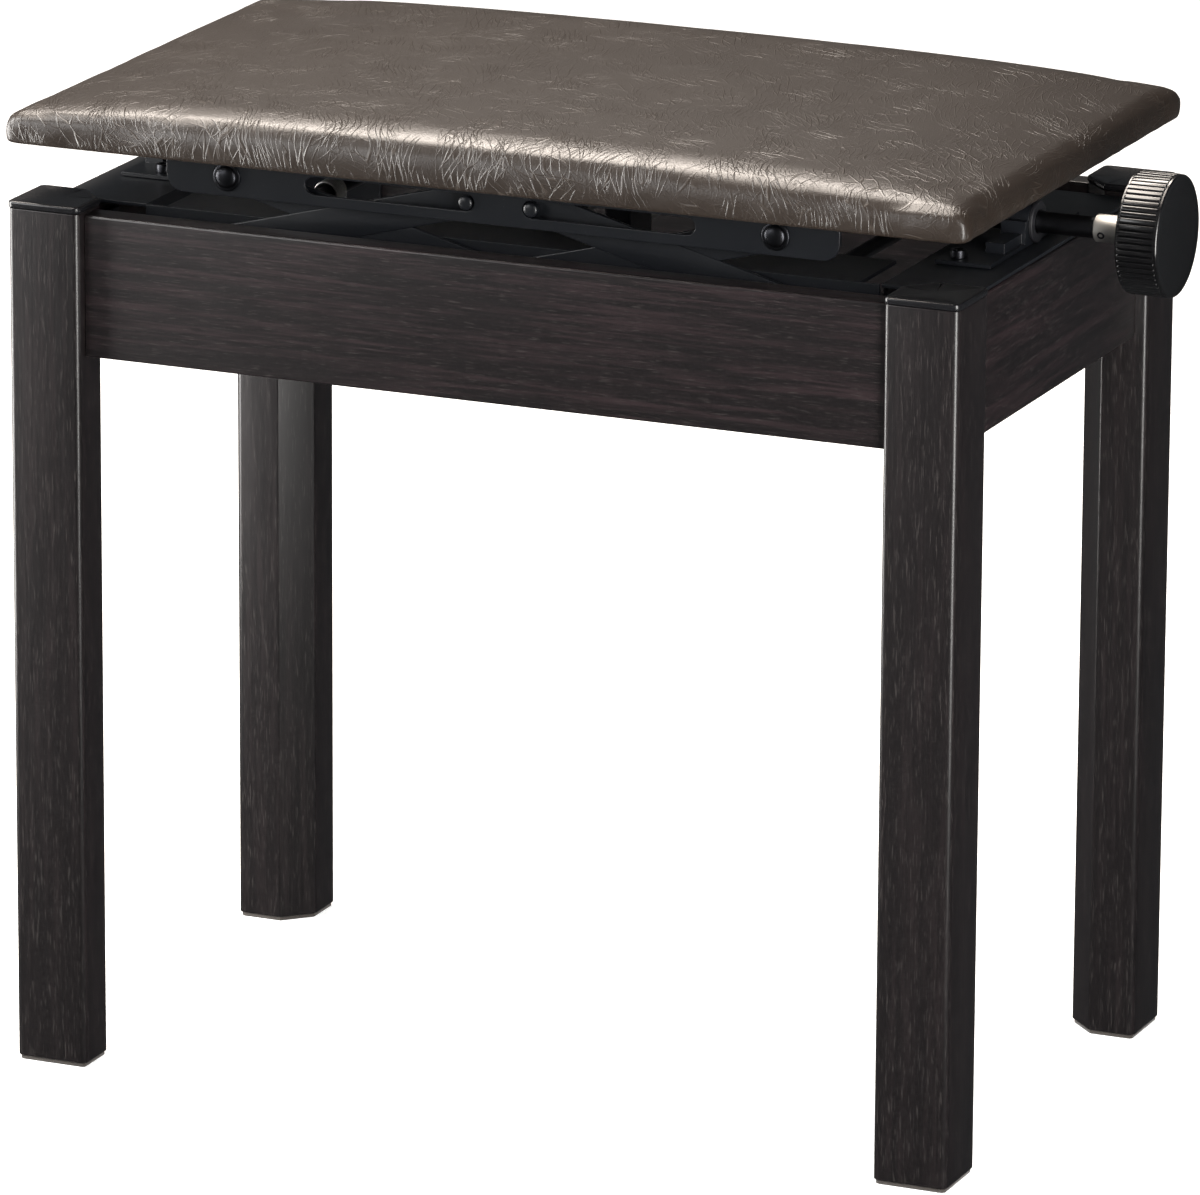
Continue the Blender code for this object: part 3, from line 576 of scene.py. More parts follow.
@dataclass(frozen=True)
class Fibre(Finish):
    """Felt or spun-bonded cloth: a mat of short fibres, dull, with a soft sheen at its edges.

    Attributes:
        fibre_mm: Spacing of the fibres, drawn coarse enough to show.
        fibre_length: Length of a fibre, as a multiple of that spacing.
        dimple_mm: Spacing of the bonding dimples; 0 for felt.
        dimple_edge: Radii between which a dimple rises, as shares of that spacing.
        tone: Least and most brightness of the colour.
        relief: Strength of the mat's relief, and its depth in millimetres.
        sheen: Weight of the sheen.
    """

    fibre_mm: float = 0.6
    fibre_length: float = 5.0
    dimple_mm: float = 0.0
    dimple_edge: Row = (0.15, 0.4)
    tone: Row = (0.6, 1.5)
    relief: Row = (0.7, 0.12)
    sheen: float = 0.3

    def draw(self, tree: Tree, shader: Node, here: Socket) -> None:
        """Two crossed stretched noises make the mat; a cell pattern presses the dimples.

        Args:
            tree: The material's nodes.
            shader: Its Principled shader.
            here: Object coordinates, in metres.
        """
        shader.inputs["Sheen Weight"].default_value = self.sheen
        fibre = (self.fibre_mm, self.fibre_length * self.fibre_mm)
        ways = (Grain.ALONG_X, Grain.ALONG_Y)
        mats = [noise(tree, way.stretch(tree, here, *fibre), 1.0, 2.0) for way in ways]
        mat = maths(tree, "MAXIMUM", *mats)
        shade = remap(tree, mat, (0.4, 1.0), self.tone)
        tone = add_node(tree, "HueSaturation", {"Color": linear(self.colour), "Value": shade})
        tree.links.new(tone.outputs[0], shader.inputs["Base Color"])
        relief = mat
        if self.dimple_mm:
            inputs = {"Vector": here, "Scale": per(self.dimple_mm), "Randomness": 0.0}
            cells = add_node(tree, "TexVoronoi", inputs).outputs["Distance"]
            relief = maths(tree, "ADD", mat, remap(tree, cells, self.dimple_edge))
        self.emboss(tree, shader, relief, *self.relief)


@dataclass(frozen=True)
class LayeredPly(Finish):
    """Raw plywood: pale faces with long grain, and dark and light layers on the cut edge.

    Attributes:
        dark: Colour of the dark layers and grain lines.
        layer_mm: Thickness of one layer.
        grain_mm: Width and length of the grain.
        relief: Strength of the grain's relief, and its depth in millimetres.
    """

    dark: str = "#8a6a48"
    layer_mm: float = 1.6
    grain_mm: Row = (2.0, 60.0)
    relief: Row = (0.5, 0.1)

    def draw(self, tree: Tree, shader: Node, here: Socket) -> None:
        """Bands along the height give the layers; stretched noise gives the grain.

        Args:
            tree: The material's nodes.
            shader: Its Principled shader.
            here: Object coordinates, in metres.
        """
        bands_in_a_unit = 20.0
        inputs = {"Vector": here, "Scale": per(self.layer_mm) / bands_in_a_unit, "Distortion": 0.4}
        layers = add_node(tree, "TexWave", inputs, bands_direction="Z").outputs["Fac"]
        grain = noise(tree, Grain.ALONG_X.stretch(tree, here, *self.grain_mm), 1.0, 5.0)
        both = maths(tree, "MULTIPLY", layers, grain)
        tree.links.new(blend(tree, both, self.dark, self.colour), shader.inputs["Base Color"])
        self.emboss(tree, shader, grain, *self.relief)


@dataclass(frozen=True)
class LightTable(Finish):
    """Studio floor: a pale, matte, evenly lit light table.

    Attributes:
        glow: Strength of its own light.
        pale: Colour of its lighter clouds.
        cloud_mm: Size of the clouds.
    """

    glow: float = 0.7
    pale: str = "#f4f4f3"
    cloud_mm: float = 700.0

    def draw(self, tree: Tree, shader: Node, here: Socket) -> None:
        """Very faint wide clouds of tone, over an even glow.

        Args:
            tree: The material's nodes.
            shader: Its Principled shader.
            here: Object coordinates, in metres.
        """
        shader.inputs["Emission Color"].default_value = linear("#ffffff")
        shader.inputs["Emission Strength"].default_value = self.glow
        cloud = noise(tree, here, per(self.cloud_mm), 2.0)
        tree.links.new(blend(tree, cloud, self.colour, self.pale), shader.inputs["Base Color"])


VINYL = CrinkledVinyl("crinkled_vinyl_leather", "synthetic_leather", "#1e1712", 0.35)
LAMINATE = {
    way: PrintedLaminate(
        f"rosewood_print_laminate_{way.name.lower()}",
        "dark_laminate",
        "#100d0e",
        0.33,
        streak="#181314" if way is Grain.ALONG_Z else "#21181a",
        grain=way,
    )
    for way in Grain
}
ABS_CAP = Moulded("moulded_abs_cap", "cap_plastic", "#101012", 0.25)
ABS_KNOB = Moulded("gloss_moulded_abs", "knob_plastic", "#09090a", 0.2, relief_mm=0.01)
NYLON = Moulded("black_nylon", "nylon", "#17171a", 0.42, ior=1.53)
PAINTED = CoatedSteel("satin_black_painted_steel", "painted_steel", "#101216", 0.34)
ZINC = TurnedMetal("zinc_plated_steel", "zinc_steel", "#b4b5b8", 0.32, 1.0)
BLACKENED = TurnedMetal("black_oxide_steel", "zinc_steel", "#3a3b3e", 0.34, 1.0, drift="#2b2b2f")
SATIN_NICKEL = TurnedMetal("satin_nickel", "zinc_steel", "#c4c2be", 0.5, 1.0, drift="#aeaba6")
FELT = Fibre("pressed_wool_felt", "felt", "#3a3531", 0.95)
DUST_CLOTH = Fibre("spun_bonded_dust_cloth", "", "#1b1b1d", 0.85, dimple_mm=1.8, sheen=0.15)
PLYWOOD = LayeredPly("raw_plywood", "plywood", "#c9a877", 0.7)
TABLE = LightTable("pale_light_table", "", "#ececea", 0.8)


# ---------------------------------------------------------------- shapes as grids of points


@dataclass(frozen=True)
class Box:
    """A node's box at rest, in millimetres.

    Attributes:
        low: Its lowest corner.
        high: Its highest corner.
    """

    low: Array
    high: Array

    @classmethod
    def of(cls, node: str) -> "Box":
        """The box of one node of the frame."""
        low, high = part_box(node)
        return cls(np.array(low) / MM, np.array(high) / MM)

    @property
    def middle(self) -> Array:
        """The box's middle."""
        return (self.low + self.high) / 2

    @property
    def size(self) -> Array:
        """The box's three sizes."""
        return self.high - self.low


@dataclass(frozen=True)
class Outline:
    """A closed line in a plane.

    Attributes:
        points: Its points, counter-clockwise.
        normals: The outward normal at each point.
    """

    points: Array
    normals: Array

    def resampled(self, count: int) -> "Outline":
        """Spreads points evenly along the line.

        Args:
            count: How many points it gets.

        Returns:
            The same line with those points.
        """
        loop = np.vstack([self.points, self.points[:1]])
        turn = np.vstack([self.normals, self.normals[:1]])
        along = np.concatenate([[0.0], np.cumsum(np.linalg.norm(np.diff(loop, axis=0), axis=1))])
        wanted = np.linspace(0.0, along[-1], count, endpoint=False)
        points = np.stack([np.interp(wanted, along, loop[:, k]) for k in (0, 1)], -1)
        normals = np.stack([np.interp(wanted, along, turn[:, k]) for k in (0, 1)], -1)
        return Outline(points, normals / np.linalg.norm(normals, axis=1, keepdims=True))


def rounded_outline(corners: Sequence[Row], radii: Sequence[float] | float, steps: int = 5) -> Outline:
    """Rounds the corners of a polygon.

    Formula: each corner becomes an arc about the point that lies its radius inside both sides.
    The normal sweeps from the first side's to the second's.

    Args:
        corners: The polygon's corners, counter-clockwise.
        radii: One radius for each corner, or one for all.
        steps: Steps along each arc.

    Returns:
        The outline.
    """
    corner = np.array(corners, float)
    radius = np.broadcast_to(np.array(radii, float), len(corner))[:, None]
    ahead = np.roll(corner, -1, axis=0) - corner
    ahead /= np.linalg.norm(ahead, axis=1, keepdims=True)
    behind = np.roll(ahead, 1, axis=0)
    before = np.stack([behind[:, 1], -behind[:, 0]], -1)
    after = np.stack([ahead[:, 1], -ahead[:, 0]], -1)
    centre = corner - (before + after) * radius / (1 + np.sum(before * after, axis=1, keepdims=True))
    start = np.arctan2(before[:, 1], before[:, 0])
    sweep = (np.arctan2(after[:, 1], after[:, 0]) - start) % (2 * math.pi)
    angle = start[:, None] + sweep[:, None] * np.linspace(0.0, 1.0, steps + 1)
    normal = np.stack([np.cos(angle), np.sin(angle)], -1)
    points = centre[:, None] + normal * radius[:, None]
    return Outline(points.reshape(-1, 2), normal.reshape(-1, 2))


def rectangle(width: float, height: float, radius: float) -> Outline:
    """A rectangle about the origin with round corners."""
    x, y = width / 2, height / 2
    return rounded_outline([(-x, -y), (x, -y), (x, y), (-x, y)], radius)


def stadium(length: float, half_width: float) -> Outline:
    """A link's outline: round ends about (0, 0) and (length, 0)."""
    ends = [(-half_width, -half_width), (length + half_width, -half_width)]
    return rounded_outline(ends + [(x, -y) for x, y in reversed(ends)], half_width - 0.01, 12)


def edge_profile(low: float, high: float, edge: float, steps: int = 4) -> list[Row]:
    """The profile of a block whose two rims are quarter circles.

    Args:
        low: Height of its underside.
        high: Height of its top.
        edge: Radius of the rims.
        steps: Steps along each rim.

    Returns:
        Rows of (inset, height) from bottom to top, half of them for each rim.
    """
    angle = np.linspace(0.0, math.pi / 2, steps + 1)
    inset, rise = edge * (1 - np.sin(angle)), edge * (1 - np.cos(angle))
    lower = list(zip(inset, low + rise))
    upper = list(zip(inset[::-1], (high - rise)[::-1]))
    return lower + upper


def loft(outline: Outline, profile: Sequence[Row]) -> Array:
    """Carries an outline up a profile.

    Formula: point (i, j) is the outline's point j moved inwards along its normal by inset i, at
    height i. A first and a last row at the outline's middle close both ends.

    Args:
        outline: The line to carry.
        profile: (inset, height) rows from bottom to top.

    Returns:
        The grid of points, rows by columns by 3, with height as its third number.
    """
    inset, height = np.array(profile, float).T
    flat = outline.points[None] - outline.normals[None] * inset[:, None, None]
    middle = np.broadcast_to((outline.points.max(0) + outline.points.min(0)) / 2, flat[:1].shape)
    flat = np.concatenate([middle, flat, middle])
    height = np.concatenate([height[:1], height, height[-1:]])
    tall = np.broadcast_to(height[:, None, None], (*flat.shape[:2], 1))
    return np.concatenate([flat, tall], -1)


def board(box: Box, along: int, radius: float, edge: float = 0.5) -> Array:
    """A board that fills a box: a round-cornered section carried along one axis.

    Args:
        box: The box to fill.
        along: The axis that the section is carried along: 0, 1 or 2.
        radius: Radius of its long edges.
        edge: Radius of its end edges.

    Returns:
        The grid of points in place.
    """
    across = [(along + 1) % 3, (along + 2) % 3]
    half = box.size[along] / 2
    grid = loft(rectangle(*box.size[across], radius), edge_profile(-half, half, edge))
    return np.roll(grid, along + 1, axis=-1) + box.middle


class Section(Enum):
    """Outline of one row of a turned piece."""

    ROUND = "round"
    HEX = "hex"
    CROSS = "cross"

    def radius(self, angle: Array) -> Array:
        """The section's radius, where 1 is the circle, the hexagon's half width or the cross's tip.

        Args:
            angle: The angles round it.

        Returns:
            The radius at each angle.
        """
        core, arm_power = 0.35, 8
        if self is Section.HEX:
            return 1 / np.cos(angle % (math.pi / 3) - math.pi / 6)
        if self is Section.CROSS:
            return core + (1 - core) * np.abs(np.cos(2 * angle)) ** arm_power
        return np.ones_like(angle)


def turned(rows: Sequence[tuple], steps: int = 48) -> Array:
    """A turned shape about local z.

    Formula: row i is a closed line at height h_i whose radius is r_i times its section's. A row
    of radius 0 is a pole.

    Args:
        rows: (radius, height) or (radius, height, section) rows, one after another.
        steps: Points round each row.

    Returns:
        The grid of points.
    """
    angle = np.linspace(0.0, 2 * math.pi, steps, endpoint=False)
    radius = np.stack([row[0] * (row[2] if len(row) > 2 else Section.ROUND).radius(angle) for row in rows])
    height = np.broadcast_to(np.array([row[1] for row in rows], float)[:, None], radius.shape)
    return np.stack([radius * np.cos(angle), radius * np.sin(angle), height], -1)


def threaded(radius: float, depth: float, pitch: float, start: float, end: float, hand: int = 1) -> Array:
    """A stretch of screw thread about local z.

    Formula: the crest follows height = pitch x angle / turn. Round the screw, the radius falls
    from the crest by the depth times a trapezoid of the distance to it, in pitches.

    Args:
        radius: Crest radius.
        depth: Depth of the thread.
        pitch: Distance between crests.
        start: Lowest height.
        end: Highest height.
        hand: 1 for a right-hand thread and -1 for a left-hand one.

    Returns:
        The grid of points, with no ends.
    """
    columns, rows_per_turn, least_rows = 32, 12, 8
    half_crest, flank = 0.12, 0.22
    angle = np.linspace(0.0, 2 * math.pi, columns, endpoint=False)
    rows = max(int((end - start) / pitch * rows_per_turn), least_rows)
    height = np.linspace(start, end, rows)[:, None]
    phase = (height / pitch - hand * angle / (2 * math.pi)) % 1.0
    off = np.clip((np.minimum(phase, 1 - phase) - half_crest) / flank, 0.0, 1.0)
    run_out = np.clip(np.minimum(height - start, end - height) / pitch, 0.0, 1.0)
    r = radius - depth * (1 - (1 - off) * run_out)
    return np.stack([r * np.cos(angle), r * np.sin(angle), np.broadcast_to(height, r.shape)], -1)


def bell(distance: Array, width: float) -> Array:
    """1 where a distance is 0, falling softly to both sides over the width."""
    return np.exp(-((distance / width) ** 2))


def aim(grid: Array, direction: Sequence[float], origin: Sequence[float]) -> Array:
    """Turns a shape from local z to a direction and moves it to an origin.

    Args:
        grid: The shape's points.
        direction: The way that local z then points.
        origin: The place of its local origin.

    Returns:
        The points in place.
    """
    w = np.array(direction, float) / np.linalg.norm(direction)
    u = np.cross((0.0, 1.0, 0.0) if abs(w[1]) < 0.9 else (0.0, 0.0, 1.0), w)
    u /= np.linalg.norm(u)
    return grid @ np.stack([u, np.cross(w, u), w]) + np.array(origin, float)


class Skin:
    """Grids of points, in millimetres, gathered into one mesh of four-sided faces."""

    def __init__(self) -> None:
        """Starts empty."""
        self.points: list[Array] = []
        self.faces: list[Array] = []

    def add(self, grid: Array) -> "Skin":
        """Covers one grid, closed round its columns.

        Formula: face (i, j) joins points (i, j), (i, j + 1), (i + 1, j + 1) and (i + 1, j).

        Args:
            grid: Rows by columns by 3.

        Returns:
            This skin, so that calls can follow each other.
        """
        rows, columns = grid.shape[:2]
        i, j = np.meshgrid(np.arange(rows - 1), np.arange(columns), indexing="ij")
        after = (j + 1) % columns
        corners = (i * columns + j, i * columns + after, (i + 1) * columns + after, (i + 1) * columns + j)
        start = sum(len(points) for points in self.points)
        self.faces.append(np.stack(corners, -1).reshape(-1, 4) + start)
        self.points.append(grid.reshape(-1, 3))
        return self

    def build(self, name: str, sharp_deg: float = 38.0) -> bpy.types.Object:
        """Makes the mesh object: poles merged, faces outwards, edges over the angle sharp.

        Args:
            name: Name of the mesh and of the object.
            sharp_deg: Angle over which an edge is sharp.

        Returns:
            The object, in the scene.
        """
        mesh = bpy.data.meshes.new(name)
        points = np.concatenate(self.points) * MM
        mesh.from_pydata(points.tolist(), [], np.concatenate(self.faces).tolist())
        bm = bmesh.new()
        bm.from_mesh(mesh)
        bmesh.ops.remove_doubles(bm, verts=bm.verts, dist=WELD_MM * MM)
        bmesh.ops.recalc_face_normals(bm, faces=bm.faces)
        bm.to_mesh(mesh)
        bm.free()
        mesh.shade_smooth()
        mesh.set_sharp_from_angle(angle=math.radians(sharp_deg))
        piece = bpy.data.objects.new(name, mesh)
        bpy.context.scene.collection.objects.link(piece)
        return piece


# ---------------------------------------------------------------- dressing


def fit(piece: bpy.types.Object, finish: Finish, body: str, *stands_for: str) -> bpy.types.Object:
    """Gives a new piece its finish and its body, and hides the nodes it stands for.

    Args:
        piece: The finished piece.
        finish: Its finish.
        body: The body that it moves with.
        *stands_for: The frame's nodes that it replaces.

    Returns:
        The piece.
    """
    piece.data.materials.clear()
    piece.data.materials.append(material_of(finish))
    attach(piece, body)
    if stands_for:
        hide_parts(*stands_for)
    LOG.info("%s: %s on body %s", piece.name, finish.label, body)
    return piece


@functools.cache
def edge_smoother() -> bpy.types.NodeTree:
    """Makes the nodes that join loose triangles and shade round faces smooth and corners sharp.

    Returns:
        The node group, which is made once.
    """
    sharp_deg = 32.0
    tree = bpy.data.node_groups.new("join_and_smooth", "GeometryNodeTree")
    for way in ("INPUT", "OUTPUT"):
        tree.interface.new_socket("Geometry", in_out=way, socket_type="NodeSocketGeometry")
    kinds = ("NodeGroupInput", "GeometryNodeMergeByDistance", "GeometryNodeSetShadeSmooth")
    start, join, faces = (tree.nodes.new(kind) for kind in kinds)
    kinds = ("GeometryNodeSetShadeSmooth", "GeometryNodeInputMeshEdgeAngle")
    edges, angle = (tree.nodes.new(kind) for kind in kinds)
    sharp, end = (tree.nodes.new(kind) for kind in ("FunctionNodeCompare", "NodeGroupOutput"))
    drop = tree.nodes.new("GeometryNodeRemoveAttribute")
    drop.inputs["Name"].default_value = "custom_normal"
    join.inputs["Distance"].default_value = WELD_MM * MM
    edges.domain = "EDGE"
    edges.inputs["Shade Smooth"].default_value = False
    sharp.operation = "GREATER_THAN"
    sharp.inputs[1].default_value = math.radians(sharp_deg)
    link = tree.links.new
    link(start.outputs[0], drop.inputs["Geometry"])
    link(drop.outputs[0], join.inputs["Geometry"])
    link(join.outputs[0], faces.inputs["Geometry"])
    link(faces.outputs[0], edges.inputs["Geometry"])
    link(angle.outputs["Unsigned Angle"], sharp.inputs[0])
    link(sharp.outputs[0], edges.inputs["Selection"])
    link(edges.outputs[0], end.inputs[0])
    return tree


def dress(names: Sequence[str], finish: Finish, edge_mm: float = 0.35) -> None:
    """Gives nodes of the frame a finish and small round edges, with modifiers only.

    Args:
        names: Starts of the nodes' names.
        finish: Their finish.
        edge_mm: Radius of their edges; 0 for none.
    """
    for name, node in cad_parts.items():
        if not name.startswith(tuple(names)):
            continue
        for material_slot in node.material_slots:
            material_slot.material = material_of(finish)
        smoother = node.modifiers.new("join_and_smooth", "NODES")
        smoother.node_group = edge_smoother()
        if edge_mm:
            bevel = node.modifiers.new("round_edges", "BEVEL")
            bevel.width = edge_mm * MM
            bevel.segments = 2
            bevel.limit_method = "ANGLE"
            bevel.angle_limit = math.radians(50)
            bevel.harden_normals = True
        LOG.info("%s: %s", name, finish.label)


# ---------------------------------------------------------------- fasteners


@dataclass(frozen=True)
class PanScrew:
    """Pan-head screw with a cross recess, in millimetres.

    Attributes:
        radius: Radius of the head.
        height: Height of the head.
    """

    radius: float = 4.0
    height: float = 2.2

    def grid(self) -> Array:
        """The head about local z, standing on z = 0: a dome with a recess at its top.

        Returns:
            The grid of points.
        """
        r, h = self.radius, self.height
        angle = np.linspace(0.0, math.pi / 2, 7)[:-1]
        dome = [(r * math.cos(a) ** 0.5, h * (0.25 + 0.75 * math.sin(a))) for a in angle]
        rim = [(0.0, 0.0), (r, 0.0)] + dome + [(0.55 * r, h)]
        recess = [(0.5 * r, h, Section.CROSS), (0.42 * r, 0.35 * h, Section.CROSS), (0.0, 0.3 * h)]
        return turned(rim + recess, 48)


@dataclass(frozen=True)
class SocketScrew:
    """Cylinder-head screw with a hex socket, and its nut, in millimetres.

    Attributes:
        radius: Radius of the head.
        height: Height of the head.
        socket: Half the socket's width.
        shank: Radius of the shank.
        reach: Length of the shank below the head.
    """

    radius: float = 4.2
    height: float = 4.0
    socket: float = 2.0
    shank: float = 2.5
    reach: float = 8.6

    def grid(self) -> Array:
        """Head, shank and tip about local z, with the head's underside at z = 0.

        Returns:
            The grid of points.
        """
        r, h = self.radius, self.height
        outside = [(0.0, -self.reach), (self.shank - 0.5, -self.reach), (self.shank, 0.5 - self.reach)]
        outside += [(self.shank, 0.0), (r, 0.0), (r, h - 0.7), (r - 0.2, h - 0.25), (r - 0.7, h)]
        rim = [(self.socket + 0.45, h), (self.socket, h - 0.2, Section.HEX)]
        return turned(outside + rim + [(self.socket, 0.4 * h, Section.HEX), (0.0, 0.3 * h)])

    def nut(self, low: float, high: float) -> Array:
        """A hex nut on the shank between two heights, with its corners turned off."""
        bore, width = self.shank + 0.02, self.shank * 1.7
        body = [(width, low + 0.4, Section.HEX), (width, high - 0.4, Section.HEX)]
        return turned([(bore, low), (width, low), *body, (width, high), (bore, high), (bore, low)])


# ---------------------------------------------------------------- wooden frame


def corners() -> Iterator[tuple[str, int, int]]:
    """Each corner's name and the signs of its x and y."""
    for y_name, y_side in FACES:
        for x_name, x_side in SIDES:
            yield f"{y_name}_{x_name}", x_side, y_side


@dataclass
class WoodenFrame:
    """Posts with caps and felts, aprons, and the steel that draws the corners together.

    Attributes:
        body: The body it all rides on.
        chamfer: Width that the inner chamfer takes off a post's two inner faces.
        post_round: Radius of a post's outer edges.
        chamfer_round: Radius beside the chamfer.
        cap_overhang: How far a cap stands out over its post.
        cap_round: Radius of a cap's upper edge.
        board_round: Radius of an apron's long edges.
        stud_radius: Radius of the corner studs.
        stud_thread: Depth of their thread.
        stud_pitch: Pitch of their thread.
        stud_nut: Distances along a stud from its outer end where its nut starts and ends.
    """

    body: str = "frame"
    chamfer: float = 14.5
    post_round: float = 3.2
    chamfer_round: float = 1.8
    cap_overhang: float = 0.5
    cap_round: float = 1.1
    board_round: float = 1.4
    stud_radius: float = 3.0
    stud_thread: float = 0.45
    stud_pitch: float = 1.0
    stud_nut: Row = (13.6, 18.6)

    def section(self, width: float, x_side: int, y_side: int) -> Outline:
        """A post's section: three round corners, and a chamfer that looks into the bench.

        Args:
            width: Width of the post.
            x_side: Sign of the post's x.
            y_side: Sign of the post's y.

        Returns:
            The outline, about the post's middle.
        """
        half = width / 2
        cut = half - self.chamfer
        ring = [(-half, -half), (half, -half), (half, cut), (cut, half), (-half, half)]
        radii = [self.post_round] * 2 + [self.chamfer_round] * 2 + [self.post_round]
        outline = rounded_outline(ring, radii)
        mirror = np.array([-x_side, -y_side])
        return Outline(outline.points * mirror, outline.normals * mirror)

    def build_posts(self) -> None:
        """Posts, caps and felts, each from its node's box."""
        end_edge, felt_edge = 0.6, 0.5
        for corner, x_side, y_side in corners():
            post = Box.of(f"leg_{corner}")
            outline = self.section(post.size[0], x_side, y_side)
            foot = (*post.middle[:2], 0.0)
            grid = loft(outline, edge_profile(post.low[2], post.high[2], end_edge)) + foot
            piece = Skin().add(grid).build(f"post_{corner}")
            fit(piece, LAMINATE[Grain.ALONG_Z], self.body, f"leg_{corner}")

            cap = Box.of(f"leg_cap_{corner}")
            out, turn = self.cap_overhang, self.cap_round
            lip = [(0.1, cap.low[2]), (-0.3, cap.low[2] + 0.15), (-out, cap.low[2] + 0.5)]
            rims = edge_profile(cap.low[2], cap.high[2], turn)
            rim = [(inset - out, height) for inset, height in rims[len(rims) // 2 :]]
            top = [(turn + 1.2, cap.high[2]), (turn + 1.8, cap.high[2] - 0.15)]
            grid = loft(outline, lip + rim + top) + foot
            fit(Skin().add(grid).build(f"post_cap_{corner}"), ABS_CAP, self.body, f"leg_cap_{corner}")

            felt = Box.of(f"foot_pad_{corner}")
            inset = (post.size[0] - felt.size[0]) / 2
            rows = [(inset + a, z) for a, z in edge_profile(felt.low[2], felt.high[2], felt_edge)]
            grid = loft(outline, rows) + foot
            fit(Skin().add(grid).build(f"foot_felt_{corner}"), FELT, self.body, f"foot_pad_{corner}")

    def build_aprons(self) -> None:
        """Four boards with eased edges; the grain runs along each one."""
        ways = (("front", 0), ("back", 0), ("left", 1), ("right", 1))
        for name, along in ways:
            grid = board(Box.of(f"apron_{name}"), along, self.board_round)
            way = Grain.ALONG_Y if along else Grain.ALONG_X
            fit(Skin().add(grid).build(f"apron_board_{name}"), LAMINATE[way], self.body, f"apron_{name}")

    def build_corner_bolts(self) -> None:
        """A threaded stud with a hex nut through each corner brace."""
        slant = math.sqrt(0.5)
        radius, plain_end = self.stud_radius, 1.0
        root = radius - self.stud_thread
        for corner, x_side, y_side in corners():
            box = Box.of(f"leg_bolt_{corner}")
            side = np.array([x_side, y_side])
            outer = np.where(side > 0, box.high[:2], box.low[:2])
            inner = np.where(side > 0, box.low[:2], box.high[:2])
            length = np.linalg.norm(outer - inner) - 2 * radius
            start = outer - side * radius * slant
            inward = (-x_side * slant, -y_side * slant, 0.0)
            origin = (*start, box.middle[2])
            thread = threaded(radius, self.stud_thread, self.stud_pitch, plain_end, length)
            ends = turned([(0.0, 0.0), (root, 0.0), (root, plain_end)], 32)
            tip = turned([(root, length), (0.0, length)], 32)
            nut = SocketScrew(shank=radius).nut(*self.stud_nut)
            skin = Skin().add(aim(np.concatenate([ends[:-1], thread, tip[1:]]), inward, origin))
            skin.add(aim(nut, inward, origin))
            fit(skin.build(f"corner_stud_{corner}"), ZINC, self.body, f"leg_bolt_{corner}")

    def build(self) -> None:
        """Builds all of it and dresses the braces."""
        self.build_posts()
        self.build_aprons()
        self.build_corner_bolts()
        dress(["corner_brace"], PAINTED)


# ---------------------------------------------------------------- lift


